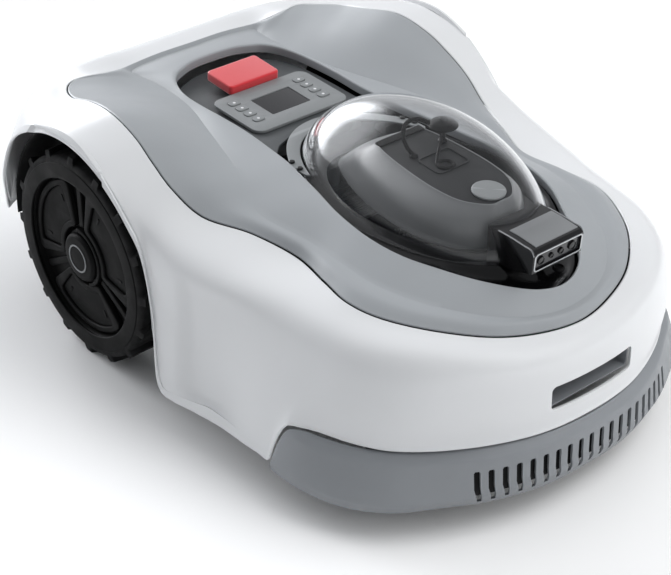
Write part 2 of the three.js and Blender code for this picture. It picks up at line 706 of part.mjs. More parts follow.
function addWheel(side, name) {
  const group = wheelGroup(side);
  const options = { depth: WHEEL_OUT - WHEEL_IN, bevelEnabled: false, curveSegments: 10 };
  const tyre = solid(new THREE.ExtrudeGeometry(tyreOutline(), options).translate(0, 0, WHEEL_IN));
  add(`${name}_tyre`, tyre, 'tread', group);
  add(`${name}_rim`, makeRim(), 'black', group);
  const cap = turned([[0, 236.4], [27, 236.4], [27, 240], [24, 243], [0, 244.6]], 'z', 28);
  add(`${name}_hub_cap`, cap, 'black', group);
}

// A geared motor, its output boss towards the wheel.
function makeMotor() {
  const profile = [
    [0, 96], [33, 96], [34, 98], [34, 150], [30, 154], [14, 154], [14, 164], [0, 164],
  ];
  return turned(profile, 'z', 28);
}

// ---------- casters ----------
function addCaster(side, name) {
  const x = side * CASTER_X;
  const wheelY = CASTER_Y + CASTER_TRAIL;
  const armOffset = CASTER_WIDTH / 2 + 4.5;
  const arm = outline([[-14, 92], [20, 92], [29, 50], [27, 34], [20, 31], [10, 34], [8, 50]]);
  const plate = (offset) => {
    const options = { depth: 3, bevelEnabled: false };
    const geometry = new THREE.ExtrudeGeometry(arm, options).rotateY(Math.PI / 2).rotateX(Math.PI / 2);
    return solid(geometry.translate(x + offset - 1.5, CASTER_Y, 0));
  };
  const bridge = box(2 * armOffset + 3, 34, 4, x, CASTER_Y + 3, 90);
  const stem = turned([[0, 91], [8, 91], [8, 121.5], [12, 121.5], [12, 125], [0, 125]], 'z', 16);
  let fork = union(bridge, plate(-armOffset), plate(armOffset), stem.translate(x, CASTER_Y, 0));
  fork = fork.subtract(cylinder(4.3, 60, 'x', x, wheelY, CASTER_R, 14));
  add(`${name}_caster_fork`, fork, 'black');
  const half = CASTER_WIDTH / 2;
  const tread = turned([
    [4.6, -half - 2], [10, -half - 2], [12, -half + 3], [34, -half + 2], [CASTER_R, -half + 7],
    [CASTER_R, half - 7], [34, half - 2], [12, half - 3], [10, half + 2], [4.6, half + 2],
  ], 'x', 24);
  add(`${name}_caster_wheel`, tread.translate(x, wheelY, CASTER_R), 'tread');
  add(`${name}_caster_axle`, cylinder(4, 2 * armOffset + 5, 'x', x, wheelY, CASTER_R, 14), 'steel');
}

// ---------- cutter ----------
function makeCarriage() {
  const housing = turned([[0, 66], [38, 66], [44, 72], [44, 146], [40, 148], [0, 148]], 'z', 26);
  const ears = box(2 * GUIDE_X + 22, 24, 8, 0, 0, 124);
  const nutArm = box(24, SCREW_Y + 12, 8, 0, (SCREW_Y + 12) / 2, 124);
  const shaft = cylinder(6, 9.5, 'z', 0, 0, 62, 20);
  return cut(
    union(housing, ears, nutArm, shaft),
    cylinder(5.4, 60, 'z', GUIDE_X, 0, 124, 14),
    cylinder(5.4, 60, 'z', -GUIDE_X, 0, 124, 14),
    cylinder(4.5, 60, 'z', 0, SCREW_Y, 124, 14),
  ).translate(0, CUTTER_Y, 0);
}

// The fixed bridge over the carriage, on its two guide rods and a rear post.
function makeBridge() {
  const low = FLOOR_Z + TUB_WALL + 0.3;
  const high = 174;
  const middle = (high + low) / 2;
  const plate = box(2 * GUIDE_X + 24, 100, 3, 0, 22, high);
  const rod = (x) => cylinder(5, high - low, 'z', x, 0, middle, 14);
  const post = box(60, 4, high - low, 0, 70, middle);
  const screwHole = cylinder(5, 20, 'z', 0, SCREW_Y, high, 14);
  return cut(union(plate, rod(GUIDE_X), rod(-GUIDE_X), post), screwHole).translate(0, CUTTER_Y, 0);
}

function makeBladeDisc() {
  const top = DISC_Z + 3;
  const hubTop = DISC_Z + 11;
  const profile = [
    [6.4, DISC_Z], [DISC_R, DISC_Z], [DISC_R, top], [16, top], [14, hubTop], [6.4, hubTop],
  ];
  let disc = turned(profile, 'z', 36);
  const spokes = 6;
  for (let i = 0; i < spokes; i += 1) {
    const angle = ((i + 0.5) * Math.PI * 2) / spokes;
    disc = disc.subtract(cylinder(13, 20, 'z', 55 * Math.cos(angle), 55 * Math.sin(angle), DISC_Z, 12));
  }
  for (let i = 0; i < BLADES; i += 1) {
    const angle = (i * Math.PI * 2) / BLADES;
    const pin = turned([[0, -3.6], [5, -3.6], [5, -2], [3, -1.6], [3, 1], [0, 1]], 'z', 10);
    disc = disc.add(pin.translate(BLADE_PIVOT_R * Math.cos(angle), BLADE_PIVOT_R * Math.sin(angle), DISC_Z));
  }
  return disc.translate(0, CUTTER_Y, 0);
}

function makeBlade(index) {
  const shape = outline([[-5, -8], [30, -8], [34, -5], [34, 5], [30, 8], [-5, 8], [-8, 4], [-8, -4]]);
  shape.holes.push(circlePath(0, 0, 3.3));
  const angle = (index * Math.PI * 2) / BLADES;
  const blade = slab(shape, DISC_Z - 1.3, DISC_Z - 0.4, 12);
  return blade.rotate([0, 0, (angle * 180) / Math.PI])
    .translate(BLADE_PIVOT_R * Math.cos(angle), CUTTER_Y + BLADE_PIVOT_R * Math.sin(angle), 0);
}

// A dished plate under the disc that glides over the ground.
function makeSkid() {
  const low = DISC_Z - 10;
  const sheet = 2.5;
  const high = DISC_Z - 0.6;
  const profile = [
    [0, low], [62, low], [68, low + 3], [66, low + 4], [60, low + sheet],
    [12, low + sheet], [10, high], [0, high],
  ];
  return turned(profile, 'z', 28).translate(0, CUTTER_Y, 0);
}

const SCREW_TOP = 175.8;
function makeLeadScrew() {
  const low = FLOOR_Z + TUB_WALL + 0.5;
  const high = SCREW_TOP;
  return cylinder(4, high - low, 'z', 0, CUTTER_Y + SCREW_Y, (high + low) / 2, 14);
}

function makeHeightMotor() {
  const foot = SCREW_TOP + 0.4;
  return turned([[0, foot], [13, foot], [13, 200], [9, 203], [0, 203]], 'z', 20)
    .translate(0, CUTTER_Y + SCREW_Y, 0);
}

// ---------- docking slot, battery and electronics ----------
function makeSlotLiner() {
  const middle = (SLOT.high + SLOT.low) / 2;
  const wide = 2 * SLOT.halfWide - 0.8;
  const high = SLOT.high - SLOT.low - 0.8;
  const cup = box(wide, 20, high, 0, -330, middle);
  return cut(cup, box(wide - 3, 20, high - 3, 0, -331.5, middle));
}

function makeContact(side) {
  const middle = (SLOT.high + SLOT.low) / 2;
  return box(16, 2, 10, side * 24, -323, middle);
}

// The main board on its standoffs, with its largest components.
function makeBoard() {
  const z = 112;
  let board = box(150, 76, 1.6, 0, -252, z);
  const corners = [[-66, -284], [66, -284], [-66, -220], [66, -220]];
  corners.forEach(([x, y]) => {
    const low = FLOOR_Z + TUB_WALL + 0.3;
    board = board.add(cylinder(3, z - low, 'z', x, y, (z + low) / 2, 10));
  });
  const parts = [
    [-30, -260, 34, 30, 6], [28, -264, 26, 22, 4], [52, -236, 18, 26, 12], [-56, -240, 22, 12, 9],
  ];
  parts.forEach(([x, y, wide, deep, high]) => {
    board = board.add(box(wide, deep, high, x, y, z + high / 2));
  });
  return board;
}

const BATTERY_Y = 280;
function makeBatteryPack() {
  const low = REAR_FLOOR_Z + TUB_WALL + 0.4;
  return slab(roundedRectangle(150, 86, 10), low, low + 56).translate(0, BATTERY_Y, 0);
}

// The plate that closes the battery bay from below. Its underside is flat.
function makeBatteryCover() {
  const plate = slab(roundedRectangle(164, 100, 8), REAR_FLOOR_Z - 3, REAR_FLOOR_Z - 0.4);
  return plate.translate(0, BATTERY_Y, 0);
}

function addMotor(side, name) {
  add(`${name}_drive_motor`, makeMotor(), 'recess', wheelGroup(side));
}

// ---------- assembly ----------
add('shell', makeShell(), 'white');
add('top_panel', makeTopPanel(), 'grey');
add('bumper', makeBumper(), 'bumperGrey');
add('chassis_tub', makeTub(), 'black');
add('left_arch_liner', makeArchLiner(-1), 'black');
add('right_arch_liner', makeArchLiner(1), 'black');
add('recess_tray', makeTray(), 'recess');
addControls();
addSensors();
addWheel(-1, 'left');
addWheel(1, 'right');
addCaster(-1, 'left');
addCaster(1, 'right');
add('cutter_carriage', makeCarriage(), 'black');
add('cutter_bridge', makeBridge(), 'steel');
add('blade_disc', makeBladeDisc(), 'black');
for (let i = 0; i < BLADES; i += 1) add(`blade_${i + 1}`, makeBlade(i), 'steel');
add('skid_plate', makeSkid(), 'recess');
add('lead_screw', makeLeadScrew(), 'steel');
add('height_motor', makeHeightMotor(), 'recess');
addMotor(-1, 'left');
addMotor(1, 'right');
add('dock_slot_liner', makeSlotLiner(), 'bumperGrey');
add('left_charge_contact', makeContact(-1), 'steel');
add('right_charge_contact', makeContact(1), 'steel');
add('main_board', makeBoard(), 'board');
add('battery_pack', makeBatteryPack(), 'battery');
add('battery_cover', makeBatteryCover(), 'black');

export default mower;
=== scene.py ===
import json
import math

import bmesh
import bpy
import numpy as np
from mathutils import Matrix, Vector


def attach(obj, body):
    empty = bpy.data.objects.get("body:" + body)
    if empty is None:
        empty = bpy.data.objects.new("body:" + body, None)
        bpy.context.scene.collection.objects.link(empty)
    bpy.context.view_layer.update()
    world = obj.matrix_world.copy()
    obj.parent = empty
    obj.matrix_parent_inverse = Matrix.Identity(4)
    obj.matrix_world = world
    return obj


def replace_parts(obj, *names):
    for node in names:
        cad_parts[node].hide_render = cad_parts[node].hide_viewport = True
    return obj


# The looks of the robotic lawn mower. Lengths are in millimetres until a mesh is made; +Z is up
# and the nose points along -Y. "left" is the side at -X.
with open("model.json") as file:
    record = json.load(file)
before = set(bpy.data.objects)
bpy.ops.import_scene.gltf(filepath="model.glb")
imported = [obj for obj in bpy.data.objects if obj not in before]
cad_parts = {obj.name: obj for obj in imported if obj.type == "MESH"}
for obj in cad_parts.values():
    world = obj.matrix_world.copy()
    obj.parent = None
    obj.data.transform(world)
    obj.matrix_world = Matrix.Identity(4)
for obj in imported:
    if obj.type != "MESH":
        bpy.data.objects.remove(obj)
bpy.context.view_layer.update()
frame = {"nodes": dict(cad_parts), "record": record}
MM = 0.001

# ---------- driving dimensions ----------
SIDES = ((-1, "left"), (1, "right"))
HALF_STATIONS = 200  # sections along half of a cover ring
LAST_STATION = 21
COVER_WALL = 2.4
PANEL_GAP = 1.5
FLANK_PRESS = 6
WHEEL_Y = 165
WHEEL_R = 120
TYRE_R = 114.6
RIM_R = 97.5
TYRE_IN = 197
TYRE_OUT = 243
LUGS = 16
ARCH = {"y": 160, "z": 115}
CAMERA = {"half_wide": 34, "sill": 233.5, "lintel": 250.5, "window_x": 30.5, "back": -230, "roof": 258.5}
DOME = {"y": -103, "z": 216.5, "a": 92.8, "b": 157.5, "c": 101.5, "wall": 2.4, "base": 223}
FLANGE = {"a": 103, "b": 172, "a_in": 91.5, "b_in": 155, "low": 239.4, "high": 241.4, "half_wide": 82}
FLANGE_FRONT = -26
POD_TOP = {"z": 272, "y": -130, "slope": 0.07}
MAST = {"x": 28, "y": -103}
TRAY_Z = 239
BUTTON = {"y": 187, "z": 245.5, "wide": 68, "deep": 45, "thick": 11, "tilt": 0.079}
BEZEL = {"y": 120.5, "z": 241.6, "wide": 128, "deep": 84, "thick": 3.6, "tilt": 0.049}
DISPLAY = {"wide": 51.5, "deep": 38.5}
KEY_SPOTS = [(side * 45, y) for side in (-1, 1) for y in (-18, -4, 10, 24)]
KEY = {"wide": 13, "deep": 9, "low": 1.4, "high": 4.6}
VENTS = 20
VENT_PITCH = 14.4
SLOT_HALF_WIDE = 55
SLOT_Z = 129
SLOT_HIGH = 26
CASTER = {"x": 118, "y": -190, "trail": 18, "r": 42, "wide": 26}
SOFT_EDGE = (0.6, 2.0)  # on inner pieces, on the tub and its cover

# Control lines of the covers' right half, from the middle of the tail to the nose: a point at each
# station, 0 to 21. HEM and LIP have points between stations too, so their rows start with theirs.
RIM = [
    (0, 243, 257), (28, 241, 257), (48, 234, 256.5), (60, 227, 256), (70, 214, 255), (77, 195, 253.5),
    (80, 176, 253), (81, 150, 253), (80.5, 120, 253), (79.5, 80, 251.5), (82, 40, 250), (86, 2, 249),
    (91, -25, 247), (97, -58, 244.5), (105, -98, 240.5), (108, -145, 236), (101, -185, 231),
    (84, -219, 225.5), (66, -250, 221), (44, -278, 217), (23, -292, 213), (0, -297, 211),
]
CREASE = [
    (0, 281, 253), (45, 281, 253), (84, 279, 250), (86, 262, 249.5), (84, 240, 250), (84, 212, 250),
    (86, 188, 250), (91, 155, 248.5), (101, 121, 246.5), (113, 82, 245), (124, 47, 243),
    (134, 14, 239.5), (144, -14, 234), (152, -42, 228), (141, -98, 222), (141, -148, 220),
    (138, -188, 216), (124, -226, 211), (101, -262, 206), (70, -292, 201), (36, -308, 197),
    (0, -313, 195),
]
OUTLINE = [
    (0, 288, 251), (47, 288, 251), (90, 288, 249), (128, 276, 260), (157, 283, 259), (174, 270, 259),
    (187, 238, 265), (187, 200, 274), (195, 150, 282), (199, 105, 274), (202, 72, 259), (202, 40, 242),
    (193, 3, 224), (172, -47, 220), (157, -98, 211), (165, -148, 210), (170, -186, 208),
    (160, -222, 204), (133, -264, 200), (92, -299, 193), (47, -317, 187), (0, -325, 185),
]
SHOULDER = [
    (0, 335, 247), (52, 335, 247), (100, 331, 250), (142, 325, 251), (178, 312, 251), (208, 286, 254),
    (230, 250, 260), (240, 205, 269), (244, 152, 273), (244, 105, 264), (243, 68, 244), (242, 34, 222),
    (242, -6, 206), (236, -52, 198), (224, -98, 197), (214, -140, 194), (206, -188, 191),
    (193, -236, 189), (162, -283, 188), (115, -319, 183), (60, -339, 175), (0, -345, 172),
]
FLANK = [
    (0, 357, 205), (56, 357, 205), (112, 355, 205), (160, 348, 205), (204, 331, 205), (230, 304, 205),
    (243, 264, 238), (249.5, 211, 263), (251, 153, 271), (251.5, 101, 260), (251, 59, 233),
    (250, 27, 200), (251.5, -1, 145), (246, -54, 120), (240, -96, 120), (234, -137, 120),
    (226, -184, 128), (212, -236, 128), (180, -285, 130), (126, -322, 130), (64, -343, 130),
    (0, -349, 130),
]
HEM = [
    (0, 0, 353, 118), (1, 55, 353, 118), (2, 110, 351.5, 118), (3, 162, 347, 118), (4, 210, 332, 117),
    (4.5, 232, 318, 115.5), (4.75, 240, 309.5, 118), (5, 242, 308, 135), (5.5, 246, 300.5, 167),
    (6, 250, 275, 211), (7, 253, 216, 254), (8, 254, 155, 265), (9, 254.5, 97, 251),
    (10, 254, 50, 217), (11, 254, 22, 174), (11.5, 256, 10.7, 128), (12, 257, 9, 80),
    (12.25, 257.5, 7, 52), (12.4, 257.5, 1, 41.5), (12.6, 256.5, -12, 40), (13, 250.5, -50, 40),
    (14, 245, -92, 40), (15, 244, -138, 40), (15.4, 243.5, -155, 41), (15.6, 242.8, -158, 52),
    (15.8, 241.5, -164, 70), (16, 238.5, -173.5, 90), (16.3, 231, -192, 95.3), (17, 211, -238.5, 94.6),
    (18, 183, -278.5, 93.6), (19, 129.5, -316.5, 93.4), (20, 66, -342.3, 93.4), (21, 0, -349.3, 93.4),
]
# The lip along the hem: station, width of the band, step at its inner edge, flare of its outer edge.
LIP = [
    (0, 4, 0, 0), (4.3, 4, 0, 0), (4.75, 12, 2.0, 1.8), (12.1, 12, 2.0, 1.8), (12.45, 8, 0.3, 1.2),
    (13.2, 15, 0, 3.0), (14.2, 12, 0, 2.4), (15.2, 4, 0, 0), (15.9, 3.5, 0, 1.0),
    (21, 3.5, 0, 1.0),
]
# The bumper: station, then top lip, ledge, face, lower chamfer and hem, from its end to the nose.
BUMPER = [
    (0, (243.5, -162, 50), (244.3, -161.5, 46), (245.5, -160.5, 41), (245.5, -159.8, 37), (243, -159, 31)),
    (0.5, (241.5, -169, 70), (243, -168.5, 65), (245.5, -166, 53), (246.5, -164, 43), (244, -164, 31)),
    (1, (238, -178.5, 88), (240, -178.5, 83), (245, -178, 58), (247, -177, 44), (244, -177, 31)),
    (1.5, (231, -194, 93.5), (237.5, -196, 85), (243.5, -196, 58), (246, -196, 44), (243, -194, 31)),
    (2, (224, -212, 93), (232.5, -214, 84), (240, -214, 58), (243, -214, 44), (240, -212, 31)),
    (3, (208, -243, 92), (217, -249.5, 83), (226, -252, 58), (229, -254, 44), (226, -251, 31)),
    (4, (184, -273, 92), (193, -281.5, 83), (200, -286, 58), (203, -288, 44), (199, -284, 31)),
    (5, (150, -298, 92), (156, -308, 83), (160, -313, 58), (162, -315, 44), (158, -309, 31)),
    (6, (108, -324, 92), (112.5, -334, 83), (114, -337, 58), (115, -338, 44), (112, -332, 30)),
    (7, (56, -343, 92), (58, -352.5, 83), (59, -354, 58), (59, -354, 46), (57, -347, 29)),
    (8, (0, -350, 92), (0, -357, 83.5), (0, -358, 58), (0, -358, 46), (0, -350, 29)),
]


# ---------- curves and grids ----------
def unit(v):
    return v / np.maximum(np.linalg.norm(v, axis=-1, keepdims=True), 1e-9)


def smooth_line(knots, points, at, mirrored=False):
    """Cubic curve through points at knots, sampled at the given values."""
    knots = np.asarray(knots, float)
    points = np.asarray(points, float)
    step = np.diff(knots)
    slope = np.diff(points, axis=0) / step[:, None]
    tangent = np.empty_like(points)
    tangent[0] = slope[0]
    tangent[-1] = slope[-1]
    before = step[:-1, None]
    after = step[1:, None]
    tangent[1:-1] = (slope[:-1] * after + slope[1:] * before) / (before + after)
    if mirrored:
        tangent[-1] = slope[-1] * (1, 0, 0)
        if abs(points[0][0]) < 1e-6:
            tangent[0] = slope[0] * (1, 0, 0)
    at = np.clip(np.asarray(at, float), knots[0], knots[-1])
    span = np.clip(np.searchsorted(knots, at, side="right") - 1, 0, len(step) - 1)
    h = step[span][:, None]
    s = ((at - knots[span]) / step[span])[:, None]
    return (
        (1 + 2 * s) * (1 - s) ** 2 * points[span]
        + s * (1 - s) ** 2 * h * tangent[span]
        + s * s * (3 - 2 * s) * points[span + 1]
        - s * s * (1 - s) * h * tangent[span + 1]
    )


def line_at(rows, stations):
    """Points of a control line at the given stations."""
    knots = [row[0] for row in rows] if len(rows[0]) == 4 else range(len(rows))
    return smooth_line(knots, [row[-3:] for row in rows], stations, mirrored=True)


def curved_sections(controls, steps):
    """Smooth sections through control points: controls is (sections, points, 3)."""
    controls = np.stack(controls, axis=1)
    result = []
    for section in controls:
        chord = np.sqrt(np.maximum(np.linalg.norm(np.diff(section, axis=0), axis=1), 1e-6))
        knots = np.concatenate([[0], np.cumsum(chord)])
        at = np.concatenate([
            np.linspace(knots[i], knots[i + 1], count, endpoint=False)
            for i, count in enumerate(steps)
        ] + [[knots[-1]]])
        result.append(smooth_line(knots, section, at))
    return np.array(result)


def rounded_sections(controls, radius, arc=4, straight=2):
    """Straight runs between control points with rounded corners."""
    rows = [controls[0]]

    def run_to(target):
        start = rows[-1]
        for i in range(1, straight + 1):
            rows.append(start + (target - start) * i / straight)

    for j in range(1, len(controls) - 1):
        corner = controls[j]
        back = controls[j - 1] - corner
        ahead = controls[j + 1] - corner
        back_length = np.linalg.norm(back, axis=1, keepdims=True)
        ahead_length = np.linalg.norm(ahead, axis=1, keepdims=True)
        reach = np.minimum(radius, 0.42 * np.minimum(back_length, ahead_length))
        enter = corner + back / back_length * reach
        leave = corner + ahead / ahead_length * reach
        run_to(enter)
        for i in range(1, arc + 1):
            s = i / arc
            rows.append((1 - s) ** 2 * enter + 2 * s * (1 - s) * corner + s * s * leave)
    run_to(controls[-1])
    return np.stack(rows, axis=1)


def mirrored_ring(half):
    """A closed ring from its right half, which starts and ends on the middle plane."""
    half[0, ..., 0] = 0
    half[-1, ..., 0] = 0
    return np.concatenate([half, half[1:-1][::-1] * (-1, 1, 1)])


def mirrored_strip(half):
    """An open strip from its right half, which ends on the middle plane."""
    half[-1, ..., 0] = 0
    return np.concatenate([half, half[:-1][::-1] * (-1, 1, 1)])


def grid_normals(grid, ring, facing=1):
    if ring:
        along = np.roll(grid, -1, axis=0) - np.roll(grid, 1, axis=0)
    else:
        along = np.gradient(grid, axis=0)
    down = np.gradient(grid, axis=1)
    return unit(np.cross(along, down)) * facing


def grid_faces(columns, rows, ring=True, loop=True):
    """Faces between columns of points: a ring joins its last column to its first, otherwise both
    ends are capped, and a loop joins the last point of each column to its first."""
    faces = []
    for i in range(columns if ring else columns - 1):
        a = i * rows
        b = (i + 1) % columns * rows
        for j in range(rows if loop else rows - 1):
            k = (j + 1) % rows
            faces.append((a + j, a + k, b + k, b + j))
    if not ring:
        faces.append(tuple(reversed(range(rows))))
        faces.append(tuple(range((columns - 1) * rows, columns * rows)))
    return faces


# ---------- objects ----------
def moved(x, y, z):
    """The matrix of a move in millimetres."""
    return Matrix.Translation((x * MM, y * MM, z * MM))


def framed(x_axis, y_axis, z_axis):
    """The matrix that turns to these local axes."""
    return Matrix((x_axis, y_axis, z_axis)).transposed().to_4x4()


FACING_NOSE = Matrix.Rotation(math.pi / 2, 4, "X")  # local Z runs forwards, local Y up
FACING_SIDE = framed((0, 1, 0), (0, 0, 1), (1, 0, 0))  # local Z runs along X, local Y up


def new_object(name, data):
    thing = bpy.data.objects.new(name, data)
    bpy.context.scene.collection.objects.link(thing)
    return thing


def baked(thing):
    """A new mesh of an object as its modifiers or its curve settings make it."""
    return bpy.data.meshes.new_from_object(thing.evaluated_get(bpy.context.evaluated_depsgraph_get()))


def clean(mesh, reach):
    """Merges points within reach of each other and turns the faces outwards."""
    tidy = bmesh.new()
    tidy.from_mesh(mesh)
    bmesh.ops.remove_doubles(tidy, verts=tidy.verts, dist=reach)
    bmesh.ops.recalc_face_normals(tidy, faces=tidy.faces)
    tidy.to_mesh(mesh)
    tidy.free()


def shade(mesh, sharp):
    """Smooth shading, with creases where faces meet at more than the sharp angle."""
    mesh.polygons.foreach_set("use_smooth", [True] * len(mesh.polygons))
    mesh.set_sharp_from_angle(angle=math.radians(sharp))


def finish_piece(name, mesh, material, body, sharp=40):
    """A piece from a mesh in metres, riding on a body."""
    piece = new_object(name, mesh)
    mesh.materials.clear()
    mesh.materials.append(material)
    shade(mesh, sharp)
    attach(piece, body)
    return piece


def new_piece(name, vertices, faces, material, body="chassis", sharp=40):
    """A piece from vertices in millimetres."""
    mesh = bpy.data.meshes.new(name)
    mesh.from_pydata([tuple(float(c) * MM for c in v) for v in vertices], [], faces)
    mesh.validate()
    clean(mesh, 1e-7)
    return finish_piece(name, mesh, material, body, sharp)


def drawn_in(edge, next_row, reach):
    """An edge row moved towards its neighbour, to leave room for a round edge."""
    step = next_row - edge
    length = np.linalg.norm(step, axis=1, keepdims=True)
    return edge + step * np.minimum(reach / np.maximum(length, 1e-6), 0.6)


def wall(name, grid, thickness, ring, material, body="chassis", facing=1, arc=3, sharp=40):
    """A closed wall behind a grid of surface points, with round edges."""
    grid = grid.copy()
    grid[:, 0] = drawn_in(grid[:, 0], grid[:, 1], thickness / 2)
    grid[:, -1] = drawn_in(grid[:, -1], grid[:, -2], thickness / 2)
    inner = grid - grid_normals(grid, ring, facing) * thickness
    rows = [grid[:, j] for j in range(grid.shape[1])]

    def round_edge(first, last, beyond):
        for i in range(1, arc + 1):
            s = i / (arc + 1)
            bulge = unit(beyond) * math.sin(math.pi * s) * thickness / 2
            rows.append(first + (last - first) * s + bulge)

    round_edge(grid[:, -1], inner[:, -1], grid[:, -1] - grid[:, -2])
    rows.extend(inner[:, j] for j in reversed(range(grid.shape[1])))
    round_edge(inner[:, 0], grid[:, 0], grid[:, 0] - grid[:, 1])
    loop = np.stack(rows, axis=1)
    columns, count = loop.shape[:2]
    return new_piece(name, loop.reshape(-1, 3), grid_faces(columns, count, ring), material, body, sharp)


# ---------- pieces cut from flat outlines ----------
def arc_points(radius, start, end, count, x=0.0, y=0.0):
    """Points of a circular arc about a centre."""
    angles = [start + (end - start) * i / count for i in range(count + 1)]
    return [(x + radius * math.cos(a), y + radius * math.sin(a)) for a in angles]


def circle(radius, x=0.0, y=0.0, steps=48):
    return arc_points(radius, 0, 2 * math.pi, steps, x, y)[:-1]


def rounded_rectangle(wide, deep, radius, x=0.0, y=0.0, steps=6):
    points = []
    for corner in range(4):
        cx = (wide / 2 - radius) * (1 if corner in (0, 3) else -1)
        cy = (deep / 2 - radius) * (1 if corner in (0, 1) else -1)
        start = math.pi / 2 * corner
        points += arc_points(radius, start, start + math.pi / 2, steps, x + cx, y + cy)
    return points


def slab(name, loops, low, high, bevel, material, body="chassis", place=Matrix()):
    """A plate with the first loop as its outline and the rest as holes, its edges rounded."""
    curve = bpy.data.curves.new(name, "CURVE")
    curve.dimensions = "2D"
    curve.fill_mode = "BOTH"
    for loop in loops:
        spline = curve.splines.new("POLY")
        spline.points.add(len(loop) - 1)
        for point, (x, y) in zip(spline.points, loop):
            point.co = (x * MM, y * MM, 0, 1)
        spline.use_cyclic_u = True
    curve.bevel_depth = bevel * MM
    curve.offset = -bevel * MM
    curve.bevel_resolution = 3
    curve.extrude = max((high - low) / 2 - bevel, 0) * MM
    holder = new_object(name + "_outline", curve)
    mesh = baked(holder)
    bpy.data.objects.remove(holder)
    bpy.data.curves.remove(curve)
    mesh.name = name
    mesh.transform(place @ moved(0, 0, (low + high) / 2))
    clean(mesh, 2e-6)
    return finish_piece(name, mesh, material, body)


def turned(name, profile, material, body="chassis", place=Matrix(), steps=96):
    """A piece turned about local Z from (radius, height) pairs."""
    vertices = []
    for x, y in circle(1, steps=steps):
        for r, z in profile:
            vertices.append(place @ Vector((r * x * MM, r * y * MM, z * MM)) / MM)
    return new_piece(name, vertices, grid_faces(steps, len(profile), loop=False), material, body, 35)


def rounded_profile(points, radius=1.2, arc=4):
    """A profile of (radius, height) corners with its inner corners rounded."""
    controls = [np.array([[r, z, 0.0]], float) for r, z in points]
    rows = rounded_sections(controls, radius, arc, 1)
    return [(max(p[0], 0.0), p[1]) for p in rows[0]]


def tube(name, points, radius, material, body="chassis", sides=14, steps=60):
    """A round cable through points."""
    points = np.asarray(points, float)
    chord = np.linalg.norm(np.diff(points, axis=0), axis=1)
    knots = np.concatenate([[0], np.cumsum(chord)])
    path = smooth_line(knots, points, np.linspace(0, knots[-1], steps))
    tangent = unit(np.gradient(path, axis=0))
    side = unit(np.cross(tangent[0], (0.3, 0.2, 0.93)))
    vertices = []
    for spot, forward in zip(path, tangent):
        side = unit(side - forward * np.dot(side, forward))
        up = np.cross(forward, side)
        vertices += [spot + side * x + up * y for x, y in circle(radius, steps=sides)]
    return new_piece(name, vertices, grid_faces(steps, sides, ring=False), material, body)


def carve(piece, cutters, sharp=35):
    """Cuts the cutter objects out of a piece and removes them."""
    for cutter in cutters:
        cut = piece.modifiers.new("cut", "BOOLEAN")
        cut.operation = "DIFFERENCE"
        cut.solver = "EXACT"
        cut.object = cutter
    mesh = baked(piece)
    piece.modifiers.clear()
    piece.data = mesh
    mesh.name = piece.name
    for cutter in cutters:
        bpy.data.objects.remove(cutter)
    shade(mesh, sharp)


def prism(name, outline, depth, place):
    """A plain cutting tool: an outline in local XY, drawn out along local Z both ways."""
    vertices = [place @ Vector((x * MM, y * MM, s * depth * MM)) for s in (-1, 1) for x, y in outline]
    mesh = bpy.data.meshes.new(name)
    mesh.from_pydata(vertices, [], grid_faces(2, len(outline), ring=False))
    return new_object(name, mesh)


# ---------- materials ----------
def add_node(tree, kind, values, **settings):
    """A node with its settings, and its values by the name or number of the socket."""
    node = tree.nodes.new(kind)
    for setting, value in settings.items():
        setattr(node, setting, value)
    for socket, value in values.items():
        node.inputs[socket].default_value = value
    return node


class Nodes:
    """A material's node tree with short helpers."""

    def __init__(self, name, slot):
        self.material = bpy.data.materials.new(name)
        self.material.use_nodes = True
        self.material["slot"] = slot
        self.tree = self.material.node_tree
        self.shader = self.tree.nodes["Principled BSDF"]
        self.position = self.tree.nodes.new("ShaderNodeTexCoord").outputs["Object"]

    def link(self, source, node, socket):
        self.tree.links.new(source, node.inputs[socket])

    def finish(self, **values):
        """Sets the shader's plain values, with _ for a space, and returns the material."""
        for socket, value in values.items():
            self.shader.inputs[socket.replace("_", " ")].default_value = value
        return self.material

    def noise(self, scale, detail=3.0, rough=0.5, position=None):
        node = add_node(
            self.tree, "ShaderNodeTexNoise", {"Scale": scale, "Detail": detail, "Roughness": rough})
        self.link(position or self.position, node, "Vector")
        return node.outputs["Fac"]

    def spread(self, source, low, high, low_in=0.3, high_in=0.7):
        node = add_node(self.tree, "ShaderNodeMapRange", {
            "From Min": low_in, "From Max": high_in, "To Min": low, "To Max": high})
        self.link(source, node, "Value")
        return node.outputs["Result"]

    def mix(self, factor, low, high):
        """A blend of two colours; low may be another node's output."""
        node = add_node(self.tree, "ShaderNodeMix", {7: (*high, 1)}, data_type="RGBA")
        if isinstance(low, tuple):
            node.inputs[6].default_value = (*low, 1)
        else:
            self.link(low, node, 6)
        self.link(factor, node, 0)
        return node.outputs[2]

    def edges(self, low, high):
        """0 on flat ground, 1 on outer edges."""
        pointiness = self.tree.nodes.new("ShaderNodeNewGeometry").outputs["Pointiness"]
        return self.spread(pointiness, 0.0, 1.0, low, high)

    def bump(self, source, distance, strength=1.0, under=None):
        node = add_node(self.tree, "ShaderNodeBump", {"Strength": strength, "Distance": distance})
        self.link(source, node, "Height")
        if under is not None:
            self.link(under, node, "Normal")
        return node.outputs["Normal"]


